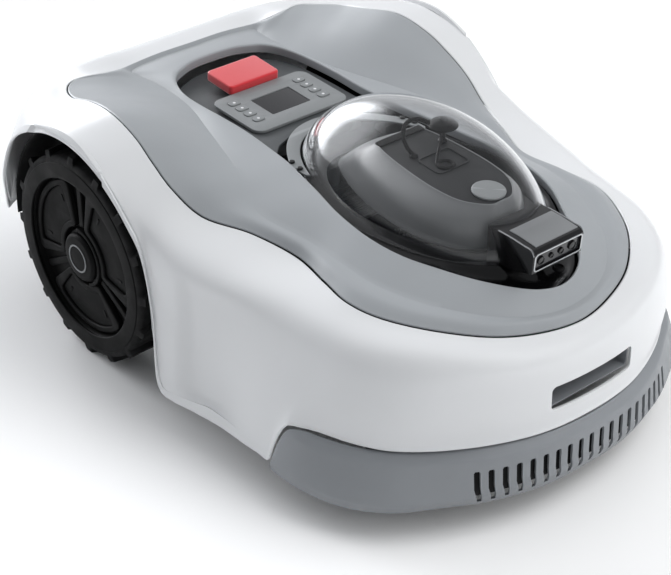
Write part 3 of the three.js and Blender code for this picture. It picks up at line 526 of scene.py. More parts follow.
def plastic(name, slot, color, rough, grain=0.00003, grain_scale=900, tint=0.05, coat=0.0, worn=0.12,
            specular=0.5, uneven=0.2, sheen=0.0):
    """Moulded plastic: faint colour drift, scuffed edges, uneven gloss and a fine moulded grain."""
    nodes = Nodes(name, slot)
    low = tuple(c * (1 - tint) for c in color)
    high = tuple(min(c * (1 + tint), 1) for c in color)
    scuffed = tuple(min(c * (1 + 2 * worn) + 0.05 * worn, 1) for c in color)
    drift = nodes.mix(nodes.spread(nodes.noise(9, 4), 0, 1), low, high)
    nodes.link(nodes.mix(nodes.edges(0.52, 0.6), drift, scuffed), nodes.shader, "Base Color")
    gloss = nodes.spread(nodes.noise(35, 5, 0.6), rough * (1 - uneven), min(rough * (1 + uneven), 1))
    nodes.link(gloss, nodes.shader, "Roughness")
    ripple = nodes.bump(nodes.noise(60, 2), 0.00004, 0.35)
    nodes.link(nodes.bump(nodes.noise(grain_scale, 2), grain, 0.6, ripple), nodes.shader, "Normal")
    return nodes.finish(Specular_IOR_Level=specular, Coat_Weight=coat, Coat_Roughness=0.08,
                        Sheen_Weight=sheen, Sheen_Roughness=0.5)


def rubber(name, slot, color):
    nodes = Nodes(name, slot)
    low = tuple(c * 0.8 for c in color)
    high = tuple(c * 1.7 + 0.002 for c in color)
    dust = nodes.spread(nodes.noise(60, 6, 0.65), 0, 1)
    nodes.link(nodes.mix(dust, low, high), nodes.shader, "Base Color")
    nodes.link(nodes.spread(nodes.noise(90, 4), 0.62, 0.9), nodes.shader, "Roughness")
    nodes.link(nodes.bump(nodes.noise(500, 4), 0.0002, 0.5), nodes.shader, "Normal")
    return nodes.finish(Specular_IOR_Level=0.2)


def metal(name, slot, color, rough):
    """Metal brushed along its local X."""
    nodes = Nodes(name, slot)
    stretch = add_node(nodes.tree, "ShaderNodeMapping", {"Scale": (1, 40, 40)})
    nodes.link(nodes.position, stretch, "Vector")
    lines = nodes.noise(60, 2, position=stretch.outputs["Vector"])
    nodes.link(nodes.spread(lines, rough * 0.7, rough * 1.4), nodes.shader, "Roughness")
    nodes.link(nodes.bump(lines, 0.00004, 0.5), nodes.shader, "Normal")
    dull = tuple(c * 0.85 for c in color)
    nodes.link(nodes.mix(nodes.noise(20), dull, color), nodes.shader, "Base Color")
    return nodes.finish(Metallic=1)


def dome_glass(name, slot):
    """Thin clear cover: a mirror as strong as the angle makes it, over see-through."""
    nodes = Nodes(name, slot)
    facing = add_node(nodes.tree, "ShaderNodeLayerWeight", {"Blend": 0.5})
    curve = nodes.spread(facing.outputs["Facing"], 0.028, 0.96, 0.46, 0.95)
    curve.node.interpolation_type = "SMOOTHSTEP"
    nodes.link(curve, nodes.shader, "Alpha")
    tone = nodes.mix(nodes.noise(15), (0.92, 0.93, 0.94), (0.95, 0.96, 0.97))
    nodes.link(tone, nodes.shader, "Base Color")
    nodes.link(nodes.spread(nodes.noise(40, 4), 0.05, 0.09), nodes.shader, "Roughness")
    nodes.link(nodes.bump(nodes.noise(12, 2), 0.0003, 0.15), nodes.shader, "Normal")
    return nodes.finish(Metallic=1)


# A moulding's name, slot, colour, roughness, height and scale of its grain, colour drift, and the rest.
WHITE = plastic("white_moulding", "white_shell", (0.66, 0.668, 0.68), 0.3, 0.000012, 1400, 0.004,
                coat=0.3, worn=0.02, uneven=0.06)
GREY = plastic("grey_moulding", "grey_panel", (0.30, 0.315, 0.33), 0.42, 0.00004, 1100, 0.02,
               coat=0.1, uneven=0.1)
BUMPER_GREY = plastic("bumper_moulding", "bumper_grey", (0.225, 0.237, 0.252), 0.5, 0.00006, 900, 0.04)
BLACK = plastic("black_moulding", "black_plastic", (0.007, 0.007, 0.0075), 0.5, 0.00006, 800, 0.2,
                worn=0.1, specular=0.15)
GLOSS = plastic("gloss_black_moulding", "gloss_black", (0.004, 0.004, 0.0045), 0.14, 0.00001, 900, 0.2,
                coat=0.25, worn=0.1, specular=0.35)
RECESS = plastic("recess_moulding", "recess_grey", (0.065, 0.07, 0.074), 0.55, 0.00007, 900, 0.08)
BEZEL_GREY = plastic("bezel_moulding", "bezel_grey", (0.20, 0.21, 0.215), 0.4, 0.00003, 1000, 0.04)
SCREEN = plastic("screen_window", "display_dark", (0.015, 0.015, 0.017), 0.16, 0.00001, 900, 0.1,
                 coat=0.3, worn=0.1, specular=0.4)
RED = plastic("red_moulding", "stop_red", (0.60, 0.016, 0.026), 0.38, 0.00003, 1000, 0.05,
              coat=0.2, worn=0.1, sheen=0.5)
SMOKE = plastic("pod_moulding", "smoke_plastic", (0.14, 0.145, 0.15), 0.38, 0.00003, 900, 0.06, coat=0.1)
POD_DARK = plastic("pod_top_moulding", "smoke_plastic", (0.02, 0.0205, 0.022), 0.5, 0.00001, 900, 0.1,
                   specular=0.3)
BOARD = plastic("solder_mask", "circuit_board", (0.01, 0.09, 0.035), 0.35, 0.00006, 500, 0.2, coat=0.3)
WRAP = plastic("battery_wrap", "battery_wrap", (0.02, 0.06, 0.13), 0.4, 0.00008, 120, 0.1, coat=0.2)
WHEEL_BLACK = plastic("wheel_moulding", "black_plastic", (0.0045, 0.0045, 0.0045), 0.5, 0.00006, 800, 0.2,
                      worn=0.1, specular=0.08)
TREAD = rubber("tread_rubber", "tread_rubber", (0.006, 0.006, 0.0062))
STEEL = metal("brushed_steel", "steel", (0.56, 0.57, 0.58), 0.3)
TRIM = metal("bright_trim", "steel", (0.55, 0.56, 0.57), 0.2)
CLEAR = dome_glass("dome_clear", "clear_dome")
SLOT_MATERIALS = {
    material["slot"]: material
    for material in (WHITE, GREY, BUMPER_GREY, BLACK, GLOSS, RECESS, BEZEL_GREY, SCREEN, RED, SMOKE, BOARD,
                     WRAP, TREAD, STEEL, CLEAR)
}


def dress_cad_nodes():
    """Every CAD node gets the node material of its slot."""
    for row in frame["record"]["subparts"]:
        node = frame["nodes"][row["node"]]
        node.data.materials.clear()
        node.data.materials.append(SLOT_MATERIALS[row["material_slot"]])


# ---------- covers ----------
STATIONS = np.linspace(0, LAST_STATION, HALF_STATIONS + 1)


def ramp(value, low, high):
    s = np.clip((value - low) / (high - low), 0, 1)
    return s * s * (3 - 2 * s)


def pressed_flank(grid):
    """Sets the side in behind the flange round the wheel arch."""
    y = grid[..., 1]
    z = grid[..., 2]
    along = ramp(-y, 20, 40) * (1 - ramp(-y, 70, 150))
    depth = FLANK_PRESS * along * ramp(z, 50, 64) * (1 - ramp(z, 172, 196))
    return grid - grid_normals(grid, False) * depth[..., None]


def make_shell():
    """The white cover, from the seam of the top panel down to its lipped hem, with the docking slot."""
    edge = line_at(OUTLINE, STATIONS)
    shoulder = line_at(SHOULDER, STATIONS)
    flank = line_at(FLANK, STATIONS)
    hem = line_at(HEM, STATIONS)
    outward = unit((shoulder - edge) * (1, 1, 0))
    start = edge + outward * PANEL_GAP
    width, step, flare = (
        np.interp(STATIONS, [r[0] for r in LIP], [r[k] for r in LIP])[:, None] for k in (1, 2, 3)
    )
    down = unit(hem - flank)
    crease = hem - down * width
    base = pressed_flank(curved_sections([start, shoulder, flank, crease], (7, 9, 12)))
    normal = grid_normals(base, False)[:, -1]
    lip_top = crease + normal * step + down * np.minimum(step, 1.0)
    lip_end = hem + normal * flare
    lip = [lip_top + (lip_end - lip_top) * s for s in (0.0, 0.5, 1.0)]
    grid = np.concatenate([base, np.stack(lip, axis=1)], axis=1)
    shell = wall("white_shell", mirrored_ring(grid), COVER_WALL, True, WHITE)
    opening = rounded_rectangle(2 * SLOT_HALF_WIDE, SLOT_HIGH, 5)
    carve(shell, [prism("slot_tool", opening, 30, moved(0, -350, SLOT_Z) @ FACING_NOSE)])
    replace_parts(shell, "shell")


def make_top_panel():
    """The grey cover: an upright edge round the recess, the deck up to the crease, and the wings."""
    rim = line_at(RIM, STATIONS)
    crease = line_at(CREASE, STATIONS)
    edge = line_at(OUTLINE, STATIONS)
    outward = unit((edge - rim) * (1, 1, 0))
    up = np.array((0.0, 0.0, 1.0))
    fillet = 2.2
    rows = [rim + outward * 0.6 - up * 11, rim + outward * 0.2 - up * 6]
    for i in range(6):
        angle = math.pi / 2 * i / 5
        rows.append(rim + outward * fillet * (1 - math.cos(angle)) + up * fillet * (math.sin(angle) - 1))
    deck = curved_sections([rows[-1], (rim + crease) / 2 + up * 0.7, crease], (4, 4))
    wing_middle = crease * 0.45 + edge * 0.55 + up * 4
    wing = curved_sections([crease, wing_middle, edge], (8, 8))
    grid = np.concatenate([np.stack(rows[:-1], axis=1), deck[:, :-1], wing], axis=1)
    panel = wall("grey_top_panel", mirrored_ring(grid), COVER_WALL, True, GREY, sharp=24)
    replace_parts(panel, "top_panel")


def make_bumper():
    """The grey bumper with its vents cut through, and the dark wall behind them."""
    stations = np.concatenate([np.linspace(0, 2, 30, endpoint=False), np.linspace(2, 8, 70)])
    knots = [row[0] for row in BUMPER]
    lines = [smooth_line(knots, [row[k] for row in BUMPER], stations, True) for k in range(1, 6)]
    half = rounded_sections(lines, 2.2, 4, 3)
    bumper = wall("grey_bumper", mirrored_strip(half), 2.8, False, BUMPER_GREY, "bumper", sharp=50)
    face = mirrored_strip(lines[3])[::-1]
    outline = [
        (-3.2, 3), (1.4, -14), (5.8, -14), (3.2, 4), (3.2, 20), (2.0, 21.8), (-2.0, 21.8), (-3.2, 20),
    ]
    distance = np.concatenate([[0], np.cumsum(np.linalg.norm(np.diff(face, axis=0), axis=1))])
    up = Vector((0, 0, 1))
    tools = []
    for i in range(VENTS):
        at = distance[-1] / 2 + (i - (VENTS - 1) / 2) * VENT_PITCH
        spot, ahead = (
            Vector([np.interp(d, distance, face[:, k]) for k in range(3)]) for d in (at, at + 1)
        )
        along = (ahead - spot).normalized()
        out = along.cross(up).normalized()
        place = moved(spot.x, spot.y, spot.z + 6) @ framed(along, up, out)
        tools.append(prism("vent_tool_%d" % i, outline, 22, place))
    carve(bumper, tools, 50)
    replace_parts(bumper, "bumper")
    behind = mirrored_strip(np.stack(lines[1:4], axis=1)[stations > 2.5])
    behind = behind - grid_normals(behind, False) * 4.2
    wall("vent_backing", behind, 0.8, False, BLACK, "bumper", sharp=50)


# ---------- control recess ----------
def tilted_place(part):
    return moved(0, part["y"], part["z"]) @ Matrix.Rotation(part["tilt"], 4, "X")


def make_tray():
    stations = np.linspace(0, 10, 60)
    rim = line_at(RIM, stations)
    inset = unit((rim - (0, 60, 0)) * (1, 1, 0)) * 3.2
    half = [(p[0], p[1]) for p in rim - inset]
    front = [(half[-1][0] - 3, 34), (60, 49), (30, 61), (0, 64)]
    right = half + front
    loop = right + [(-x, y) for x, y in right[1:-1][::-1]]
    tray = slab("dark_tray", [loop], TRAY_Z - 3, TRAY_Z, 0.6, RECESS)
    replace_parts(tray, "recess_tray")


def make_controls():
    place = tilted_place(BEZEL)
    loops = [
        rounded_rectangle(BEZEL["wide"], BEZEL["deep"], 12, steps=10),
        rounded_rectangle(DISPLAY["wide"] + 0.8, DISPLAY["deep"] + 0.8, 1.6),
    ]
    for x, y in KEY_SPOTS:
        loops.append(rounded_rectangle(KEY["wide"] + 0.8, KEY["deep"] + 0.8, 3.4, x, y))
    bezel = slab("raised_bezel", loops, 0, BEZEL["thick"], 0.7, BEZEL_GREY, place=place)
    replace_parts(bezel, "keypad_bezel")
    window = rounded_rectangle(DISPLAY["wide"], DISPLAY["deep"], 1.4)
    screen = slab("screen_window", [window], 0, 2.8, 0.3, SCREEN, place=place)
    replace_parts(screen, "display_screen")
    for number, (x, y) in enumerate(KEY_SPOTS, 1):
        outline = rounded_rectangle(KEY["wide"], KEY["deep"], 3.2, x, y)
        body = "key_%d" % number
        key = slab(body + "_cap", [outline], KEY["low"], KEY["high"], 0.8, BEZEL_GREY, body, place)
        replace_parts(key, body)
        slab(body + "_dot", [circle(1.6, x, y, 20)], 4.55, 4.75, 0.05, WHITE, body, place)


def make_stop_button():
    place = tilted_place(BUTTON)
    low = rounded_rectangle(BUTTON["wide"], BUTTON["deep"], 4.5)
    cap = slab("red_cap", [low], 0, BUTTON["thick"], 2.0, RED, "stop_button", place)
    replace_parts(cap, "stop_button")


# ---------- sensor dome ----------
def dome_point(angle, height_angle, grow=0.0):
    """A point of the dome: angle round the vertical, height_angle from the equator up."""
    ring = math.cos(height_angle)
    return (
        (DOME["a"] + grow) * math.sin(angle) * ring,
        DOME["y"] + (DOME["b"] + grow) * math.cos(angle) * ring,
        DOME["z"] + (DOME["c"] + grow) * math.sin(height_angle),
    )


def make_dome():
    """The clear cover: a double skin, cut out round the camera's snout."""
    around = 160
    base = math.asin((DOME["base"] - DOME["z"]) / DOME["c"])
    heights = np.linspace(base, math.pi / 2, 41)
    skin = [(h, 0) for h in heights[::-1]] + [(h, -DOME["wall"]) for h in heights]
    vertices = [dome_point(2 * math.pi * i / around, h, grow) for i in range(around) for h, grow in skin]
    faces = grid_faces(around, len(skin), loop=False)
    dome = new_piece("clear_dome_cover", vertices, faces, CLEAR, sharp=60)
    room = CAMERA["half_wide"] + 0.6
    ahead = -300
    outline = [(-room, ahead), (room, ahead), (room, CAMERA["back"]), (-room, CAMERA["back"])]
    middle = 200
    depth = CAMERA["roof"] + 0.6 - middle
    carve(dome, [prism("camera_room_tool", outline, depth, moved(0, 0, middle))], 50)
    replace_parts(dome, "dome_cover")


def make_bowl():
    """The black gutter from the panel's edge, down and in under the foot of the dome."""
    around = 120
    rim = mirrored_ring(line_at(RIM, np.linspace(0, LAST_STATION, 400)))
    rim = rim[rim[:, 1] < 66]
    bearing = np.arctan2(rim[:, 0], rim[:, 1] - DOME["y"])
    order = np.argsort(bearing)
    bearing = bearing[order]
    rim = rim[order]
    sections = []
    for i in range(around):
        angle = 2 * math.pi * i / around
        wrapped = (angle + math.pi) % (2 * math.pi) - math.pi
        spot = np.array([np.interp(wrapped, bearing, rim[:, k], period=2 * math.pi) for k in range(3)])
        direction = np.array((math.sin(angle), math.cos(angle)))
        reach = np.linalg.norm(spot[:2] - (0, DOME["y"])) - 3.4
        if direction[1] > 0:
            reach = min(reach, (64 - DOME["y"]) / direction[1])
        outer = np.array((*(direction * reach + (0, DOME["y"])), min(spot[2] - 5.5, TRAY_Z - 3.6)))
        inner = np.array(dome_point(angle, 0.067, -3))
        inner[2] = DOME["base"] - 0.8
        low = outer + (inner - outer) * 0.5
        low[2] = min(outer[2], inner[2]) - 3
        centre = np.array((0, DOME["y"], inner[2]))
        sections.append([outer, low, inner, inner + (centre - inner) * 0.22])
    grid = curved_sections(np.array(sections).transpose(1, 0, 2), (5, 5, 3))
    bowl = wall("gloss_gutter", grid, 2.2, True, GLOSS, facing=-1, sharp=60)
    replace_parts(bowl, "sensor_bowl")


# Half outlines of the pod at its foot and at its top plate, from the tail side to the nose side.
POD_BASE = [
    (0, 10), (20, 2), (38, -30), (53, -75), (60, -120), (59, -165), (46, -202), (20, -224), (0, -227),
]
POD_PLATE = [
    (0, -62), (18, -62), (29, -66), (36, -92), (40, -130), (40, -165), (34, -194), (16, -215), (0, -217),
]


def pod_top_at(y):
    """Height of the pod's sloping top."""
    return POD_TOP["z"] + (y - POD_TOP["y"]) * POD_TOP["slope"]


def smooth_loop(points, count):
    """A mirrored closed outline through half its points."""
    knots = np.arange(len(points))
    half = smooth_line(knots, [(x, y, 0) for x, y in points], np.linspace(0, knots[-1], count), True)
    return mirrored_ring(half)


def make_pod():
    """The pod under the dome; returns the place of its top plate."""
    base = smooth_loop(POD_BASE, 60)
    plate = smooth_loop(POD_PLATE, 60)
    top_z = pod_top_at(plate[:, 1])[:, None] * (0, 0, 1)
    low = base + (0, 0, DOME["base"] + 0.6)
    high = plate + top_z
    middle = (base * (1.16, 1, 0) + plate) / 2 + (0, 0, 254)
    inward = unit(plate * (-1, 0, 0) + (0, -140, 0) - plate * (0, 1, 0))
    lip = high + inward * 1.4 + (0, 0, 0.6)
    sides = curved_sections([lip, high - (0, 0, 1.2), middle, low], (2, 10, 10))
    pod = wall("pod_sides", sides, 1.8, True, SMOKE, sharp=60)
    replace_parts(pod, "sensor_pod")
    slope = Matrix.Rotation(math.atan(POD_TOP["slope"]), 4, "X")
    place = moved(0, POD_TOP["y"], POD_TOP["z"]) @ slope
    outline = [(p[0] * 0.975, (p[1] - POD_TOP["y"]) * 0.985) for p in plate]
    slab("pod_plate", [outline], -2.2, -0.2, 0.5, POD_DARK, place=place)
    slab("pod_band", [rounded_rectangle(60, 9, 1.5, 0, 60)], -0.1, 1.6, 0.4, BLACK, place=place)
    pocket = [rounded_rectangle(44, 34, 6, 4, 0), rounded_rectangle(40, 30, 4.5, 4, 0)]
    slab("pod_pocket", pocket, -0.1, 1.0, 0.3, POD_DARK, place=place)
    return place


def make_antennas(place):
    spot = place @ moved(0, -197 - POD_TOP["y"], 0.3)
    profile = rounded_profile([(0, 0), (17, 0), (17, 1.9), (15.4, 2.6), (0, 2.6)], 0.5)
    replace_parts(turned("round_antenna", profile, BEZEL_GREY, place=spot), "antenna_disc")
    foot = pod_top_at(MAST["y"]) + 0.5
    mast = rounded_profile([
        (0, foot), (5, foot), (5, foot + 2), (3, foot + 3.5), (3, 289), (13, 290.4), (16, 293),
        (12, 297), (4.6, 299.4), (4, 301), (0, 301.2),
    ], 1.2)
    mast_place = moved(MAST["x"], MAST["y"], 0)
    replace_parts(turned("hooded_antenna", mast, BLACK, place=mast_place, steps=64), "antenna_mast")
    cable = [
        (14, -98, 298), (2, -91, 303.5), (-8, -88, 301), (-15, -91, 292), (-17, -99, 282), (-15, -107, 275),
    ]
    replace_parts(tube("antenna_loop", cable, 2.3, BLACK), "antenna_cable")
    clip = rounded_profile([(0, 0), (4.2, 0), (4.2, 1.6), (2.8, 3.4), (0, 3.4)], 0.5)
    turned("cable_clip", clip, BLACK, place=moved(-15, -107.5, pod_top_at(-107)), steps=32)
    ring = [(6, 0.2), (10, 0.2), (10.2, 1.2), (9.4, 2.4), (8, 2.9), (6.7, 2.4), (5.9, 1.2), (6, 0.2)]
    ring_place = moved(0, -137, pod_top_at(-137))
    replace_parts(turned("ring_connector", ring, BLACK, place=ring_place, steps=48), "cable_connector")
    lead = [(19, -110, 291), (13, -116, 287), (6, -121, 281.5), (-1, -126, 276.5), (-7, -132, 273.6)]
    tube("antenna_lead", lead, 1.6, BLACK, sides=12)


def make_flange():
    """The clamp round the tail side of the dome, trimmed at its front and sides, with its screws."""
    wide = FLANGE["half_wide"]

    def edge(a, b):
        bearings = arc_points(1, math.radians(-112), math.radians(112), 120)
        points = [(a * y, DOME["y"] + b * x) for x, y in bearings]
        return [(max(-wide, min(wide, x)), y) for x, y in points if y > FLANGE_FRONT]

    loop = edge(FLANGE["a"], FLANGE["b"]) + edge(FLANGE["a_in"], FLANGE["b_in"])[::-1]
    flange = slab("dome_clamp", [loop], FLANGE["low"], FLANGE["high"], 0.5, BEZEL_GREY)
    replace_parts(flange, "dome_flange")
    profile = rounded_profile([(0, 0), (3.4, 0), (3.4, 1.3), (2.6, 2.1), (0, 2.1)], 0.5)
    for side, name in SIDES:
        for k, (x, y) in enumerate(((79, -8), (76.5, 8))):
            place = moved(side * x, y, FLANGE["high"] + 0.2)
            head = turned("%s_clamp_screw_%d" % (name, k), profile, GLOSS, place=place, steps=32)
            if k == 0:
                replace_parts(head, name + "_flange_screw")


def make_camera_pod():
    wide = CAMERA["half_wide"]
    low = DOME["base"] + 0.3
    back = CAMERA["back"] - 0.4
    side = [
        (-262, low), (-289.2, 230.6), (-290.7, 252), (-287.8, 255.2), (-262, 257.7), (back, 258.2),
        (back, low),
    ]
    body = slab("camera_body", [side], -wide + 0.4, wide - 0.4, 0.8, GLOSS, place=FACING_SIDE)
    sill = (CAMERA["sill"] + CAMERA["lintel"]) / 2
    high = CAMERA["lintel"] - CAMERA["sill"]
    face = moved(0, -290.2, sill) @ Matrix.Rotation(math.radians(94), 4, "X")
    mouth = rounded_rectangle(2 * CAMERA["window_x"], high, 2.5)
    carve(body, [prism("camera_mouth_tool", mouth, 3.2, face)])
    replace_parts(body, "camera_housing")
    inner = rounded_rectangle(2 * CAMERA["window_x"] - 0.6, high - 0.6, 2.2)
    window = slab("camera_glass", [inner], -3.0, -1.6, 0.2, SCREEN, place=face)
    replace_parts(window, "camera_window")
    frame_loop = rounded_rectangle(2 * CAMERA["window_x"] + 3.6, high + 3.2, 4)
    slab("camera_frame", [frame_loop, mouth], -0.3, 0.7, 0.3, TRIM, place=face)
    for index, (x, radius) in enumerate(((-22, 4.4), (-8, 2.8), (5, 3.4), (20, 4.8))):
        profile = rounded_profile([
            (0, 0), (radius, 0), (radius, 1.4), (radius - 0.8, 1.8), (radius - 1.2, 0.9), (0, 1.5),
        ], 0.3)
        turned("camera_eye_%d" % index, profile, GLOSS, place=face @ moved(x, 0, -1.6), steps=40)
    top = [(-285.5, 255), (-285, 256.2), (-262, 258.4), (-251, 258.6), (-251, 257.6), (-262, 257.3)]
    slab("camera_roof", [top], -wide + 8, wide - 3, 0.3, SMOKE, place=FACING_SIDE)
    for sign, edge in SIDES:
        x = sign * (wide - 1)
        rail = [(x, -290.6, 250), (x, -287.9, 254.6), (x, -276, 256.4), (x, -262, 257.6), (x, -244, 258)]
        tube("camera_%s_edge" % edge, rail, 0.8, TRIM, sides=10, steps=30)
    eye = rounded_profile([(0, 0), (6, 0), (6, 2.4), (4.6, 3.4), (3.4, 2.2), (0, 2.2)], 0.5)
    turned("nose_sensor", eye, BLACK, place=moved(13, -281, 214.5), steps=40)


# ---------- drive wheels ----------
def wheel_place(side):
    """Local Z faces outwards from the machine, local Y is up."""
    return moved(0, WHEEL_Y, WHEEL_R) @ framed((0, side, 0), (0, 0, 1), (side, 0, 0))


def make_tyre(side, name):
    """A tyre whose lugs are waves of its tread rows, slanted to a chevron."""
    place = wheel_place(side)
    columns = LUGS * 32
    middle = (TYRE_IN + TYRE_OUT) / 2
    # From the bead to the shoulder: radius, distance from the sidewall, share of the lug's height.
    wall_rows = [
        (98.2, 3, 0), (100, 0.6, 0), (107, 0, 0), (111, 0.4, 0), (112.4, 1.2, 0.5), (113.6, 2.4, 1),
        (114.4, 5, 1),
    ]
    profile = [(r, TYRE_IN + d, lug) for r, d, lug in wall_rows]
    profile += [(TYRE_R, middle + d, 1) for d in (-12, -4, 4, 12)]
    profile += [(r, TYRE_OUT - d, lug) for r, d, lug in wall_rows[::-1]]
    vertices = []
    for i in range(columns):
        angle = 2 * math.pi * i / columns
        phase = ((i * LUGS / columns + 0.5) % 1) - 0.5
        rise = ramp(0.125 - abs(phase), 0, 0.03)
        for r, along, lug in profile:
            chevron = 0.10 * (1 - abs(along - middle) / (middle - TYRE_IN)) if lug else 0
            radius = r + lug * rise * (WHEEL_R - r - 0.1)
            x = radius * math.cos(angle + chevron)
            y = radius * math.sin(angle + chevron)
            vertices.append(place @ Vector((x * MM, y * MM, along * MM)) / MM)
    faces = grid_faces(columns, len(profile))
    tyre = new_piece(name + "_lugged_tyre", vertices, faces, TREAD, name + "_wheel", 32)
    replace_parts(tyre, name + "_tyre")


def sector(r_in, r_out, start, end, corner, steps=28):
    """A ring sector with rounded corners."""
    def bend(centre_r, centre_a, a, b):
        return arc_points(corner, a, b, 5, centre_r * math.cos(centre_a), centre_r * math.sin(centre_a))

    out_turn = math.asin(corner / (r_out - corner))
    in_turn = math.asin(corner / (r_in + corner))
    points = arc_points(r_out, start + out_turn, end - out_turn, steps)
    points += bend(r_out - corner, end - out_turn, end - out_turn, end + math.pi / 2)[1:]
    points += bend(r_in + corner, end - in_turn, end + math.pi / 2, end - in_turn + math.pi)
    points += arc_points(r_in, end - in_turn, start + in_turn, steps // 2)[1:]
    points += bend(r_in + corner, start + in_turn, start + in_turn + math.pi, start + math.pi * 1.5)[1:]
    points += bend(r_out - corner, start + out_turn, start - math.pi / 2, start + out_turn)
    return points


def make_rim(side, name):
    """The dished rim with three framed panels, webs between them, and the hub."""
    place = wheel_place(side)
    dish = 231.4
    body = name + "_wheel"

    def plate(label, loops, low, high, bevel, material=WHEEL_BLACK, turn=Matrix()):
        slab(name + label, loops, low, high, bevel, material, body, place @ turn)

    def turn_to(angle, radius):
        return Matrix.Rotation(angle, 4, "Z") @ moved(radius, 0, 0)

    profile = rounded_profile([
        (0, 166.5), (12, 166.5), (12, 200), (24, 221), (89, 221), (92, 200), (RIM_R, 199), (RIM_R, 240.5),
        (94, 241.5), (91, 240), (89.5, 232), (32, 231), (30, 235), (0, 235),
    ], 1.6)
    rim = turned(name + "_rim_dish", profile, WHEEL_BLACK, body, place)
    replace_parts(rim, name + "_rim")
    plate("_rim_flange", [circle(107.5, steps=128), circle(90, steps=128)], 240.6, 243.9, 1.3)
    for k in range(3):
        start = math.radians(side * 18 + 120 * k)
        end = start + math.radians(96)
        panel = sector(34, 87, start, end, 7)
        hollow = sector(41, 80, start + math.radians(9), end - math.radians(9), 5)
        plate("_rim_frame_%d" % k, [panel, hollow], dish, 238.4, 1.6)
        plate("_rim_blade_%d" % k, [hollow], dish, 235.6, 1.2)
        mark = [rounded_rectangle(9, 3.2, 1.5)]
        for m, offset in enumerate((-0.52, 0.52)):
            turn = turn_to((start + end) / 2 + offset, 66)
            plate("_rim_slot_%d_%d" % (k, m), mark, 235.4, 236.4, 0.4, TREAD, turn)
        web = turn_to(start - math.radians(12), 61)
        plate("_rim_web_%d" % k, [rounded_rectangle(52, 8, 3)], 231.2, 236, 1.2, turn=web)
    collar = sector(29.5, 34, math.radians(-70), math.radians(100), 2)
    plate("_hub_collar", [collar], dish, 240, 1.2)
    cap = rounded_profile([(0, 235.5), (27.5, 235.5), (27.5, 240.6), (24.5, 243.4), (0, 244.4)], 1.4)
    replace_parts(turned(name + "_hub_disc", cap, WHEEL_BLACK, body, place), name + "_hub_cap")
    plate("_hub_ring", [circle(16), circle(14.2)], 243.7, 244.5, 0.25, BEZEL_GREY)


def make_arch_liner(side, name):
    """The black tunnel over a wheel: arcs about one axis, from the rim's inside out to the flank."""
    rows = [
        [(side * along, ARCH["y"] + x, ARCH["z"] + z)
         for x, z in arc_points(radius, math.radians(-2), math.radians(182), 72)]
        for radius, along in ((60, 179), (100, 178.6), (138, 179), (145.5, 186), (146, 205), (146, 231))
    ]
    grid = curved_sections(np.array(rows, float), (2, 2, 4, 4, 3))
    liner = wall(name + "_arch_tunnel", grid, 1.6, False, BLACK, facing=-side, sharp=50)
    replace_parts(liner, name + "_arch_liner")


# ---------- docking slot ----------
def make_slot_liner():
    wide = 2 * SLOT_HALF_WIDE - 0.8
    high = SLOT_HIGH - 0.8
    place = moved(0, 0, SLOT_Z) @ FACING_NOSE
    outer = rounded_rectangle(wide, high, 4.6)
    inner = rounded_rectangle(wide - 3.4, high - 3.4, 3.2)
    liner = slab("slot_sleeve", [outer, inner], 320, 341, 0.5, BUMPER_GREY, place=place)
    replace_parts(liner, "dock_slot_liner")
    slab("slot_back", [inner], 319.5, 321.2, 0.2, BLACK, place=place)


# ---------- underside ----------
def make_caster(side, name):
    """The trailing front wheel: rounded tread, hub, fork arms and axle."""
    x = side * CASTER["x"]
    y = CASTER["y"]
    r = CASTER["r"]
    half = CASTER["wide"] / 2
    across = moved(x, y + CASTER["trail"], r) @ Matrix.Rotation(math.pi / 2, 4, "Y")
    wheel_body = name + "_caster_wheel"
    fork_body = name + "_caster_fork"
    tread = rounded_profile([
        (30, -half + 2), (34, -half + 1), (r, -half + 6), (r, -1.2), (r - 2, -0.6), (r - 2, 0.6), (r, 1.2),
        (r, half - 6), (34, half - 1), (30, half - 2), (30, -half + 2),
    ], 2.2)
    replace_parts(turned(name + "_caster_tread", tread, TREAD, wheel_body, across), wheel_body)
    hub = rounded_profile([
        (4.6, -half - 2), (9, -half - 2), (11, -half + 3), (26, -half + 4), (30.2, -half + 1.4),
        (30.2, half - 1.4), (26, half - 4), (11, half - 3), (9, half + 2), (4.6, half + 2),
        (4.6, -half - 2),
    ], 1.2)
    turned(name + "_caster_hub", hub, BLACK, wheel_body, across)
    arm = half + 4.5
    outline = [(-14, 92), (20, 92), (29, 50), (27, 34), (20, 31), (10, 34), (8, 50)]
    place = moved(x, y, 0) @ FACING_SIDE
    for end, at in (("inner", -arm), ("outer", arm)):
        label = "%s_caster_%s_arm" % (name, end)
        slab(label, [outline], at - 1.5, at + 1.5, 0.8, BLACK, fork_body, place)
    deck = rounded_rectangle(2 * arm + 3, 34, 4, x, y + 3)
    slab(name + "_caster_bridge", [deck], 88, 92, 1.0, BLACK, fork_body)
    stem = rounded_profile([(0, 91), (8, 91), (8, 121.5), (12, 121.5), (12, 125), (0, 125)], 0.8)
    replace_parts(turned(name + "_caster_stem", stem, BLACK, fork_body, moved(x, y, 0), 48), fork_body)
    ends = arm + 2.5
    pin = rounded_profile([(0, -ends), (4, -ends), (4, ends), (0, ends)], 0.8)
    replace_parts(turned(name + "_caster_pin", pin, STEEL, fork_body, across, 40), name + "_caster_axle")


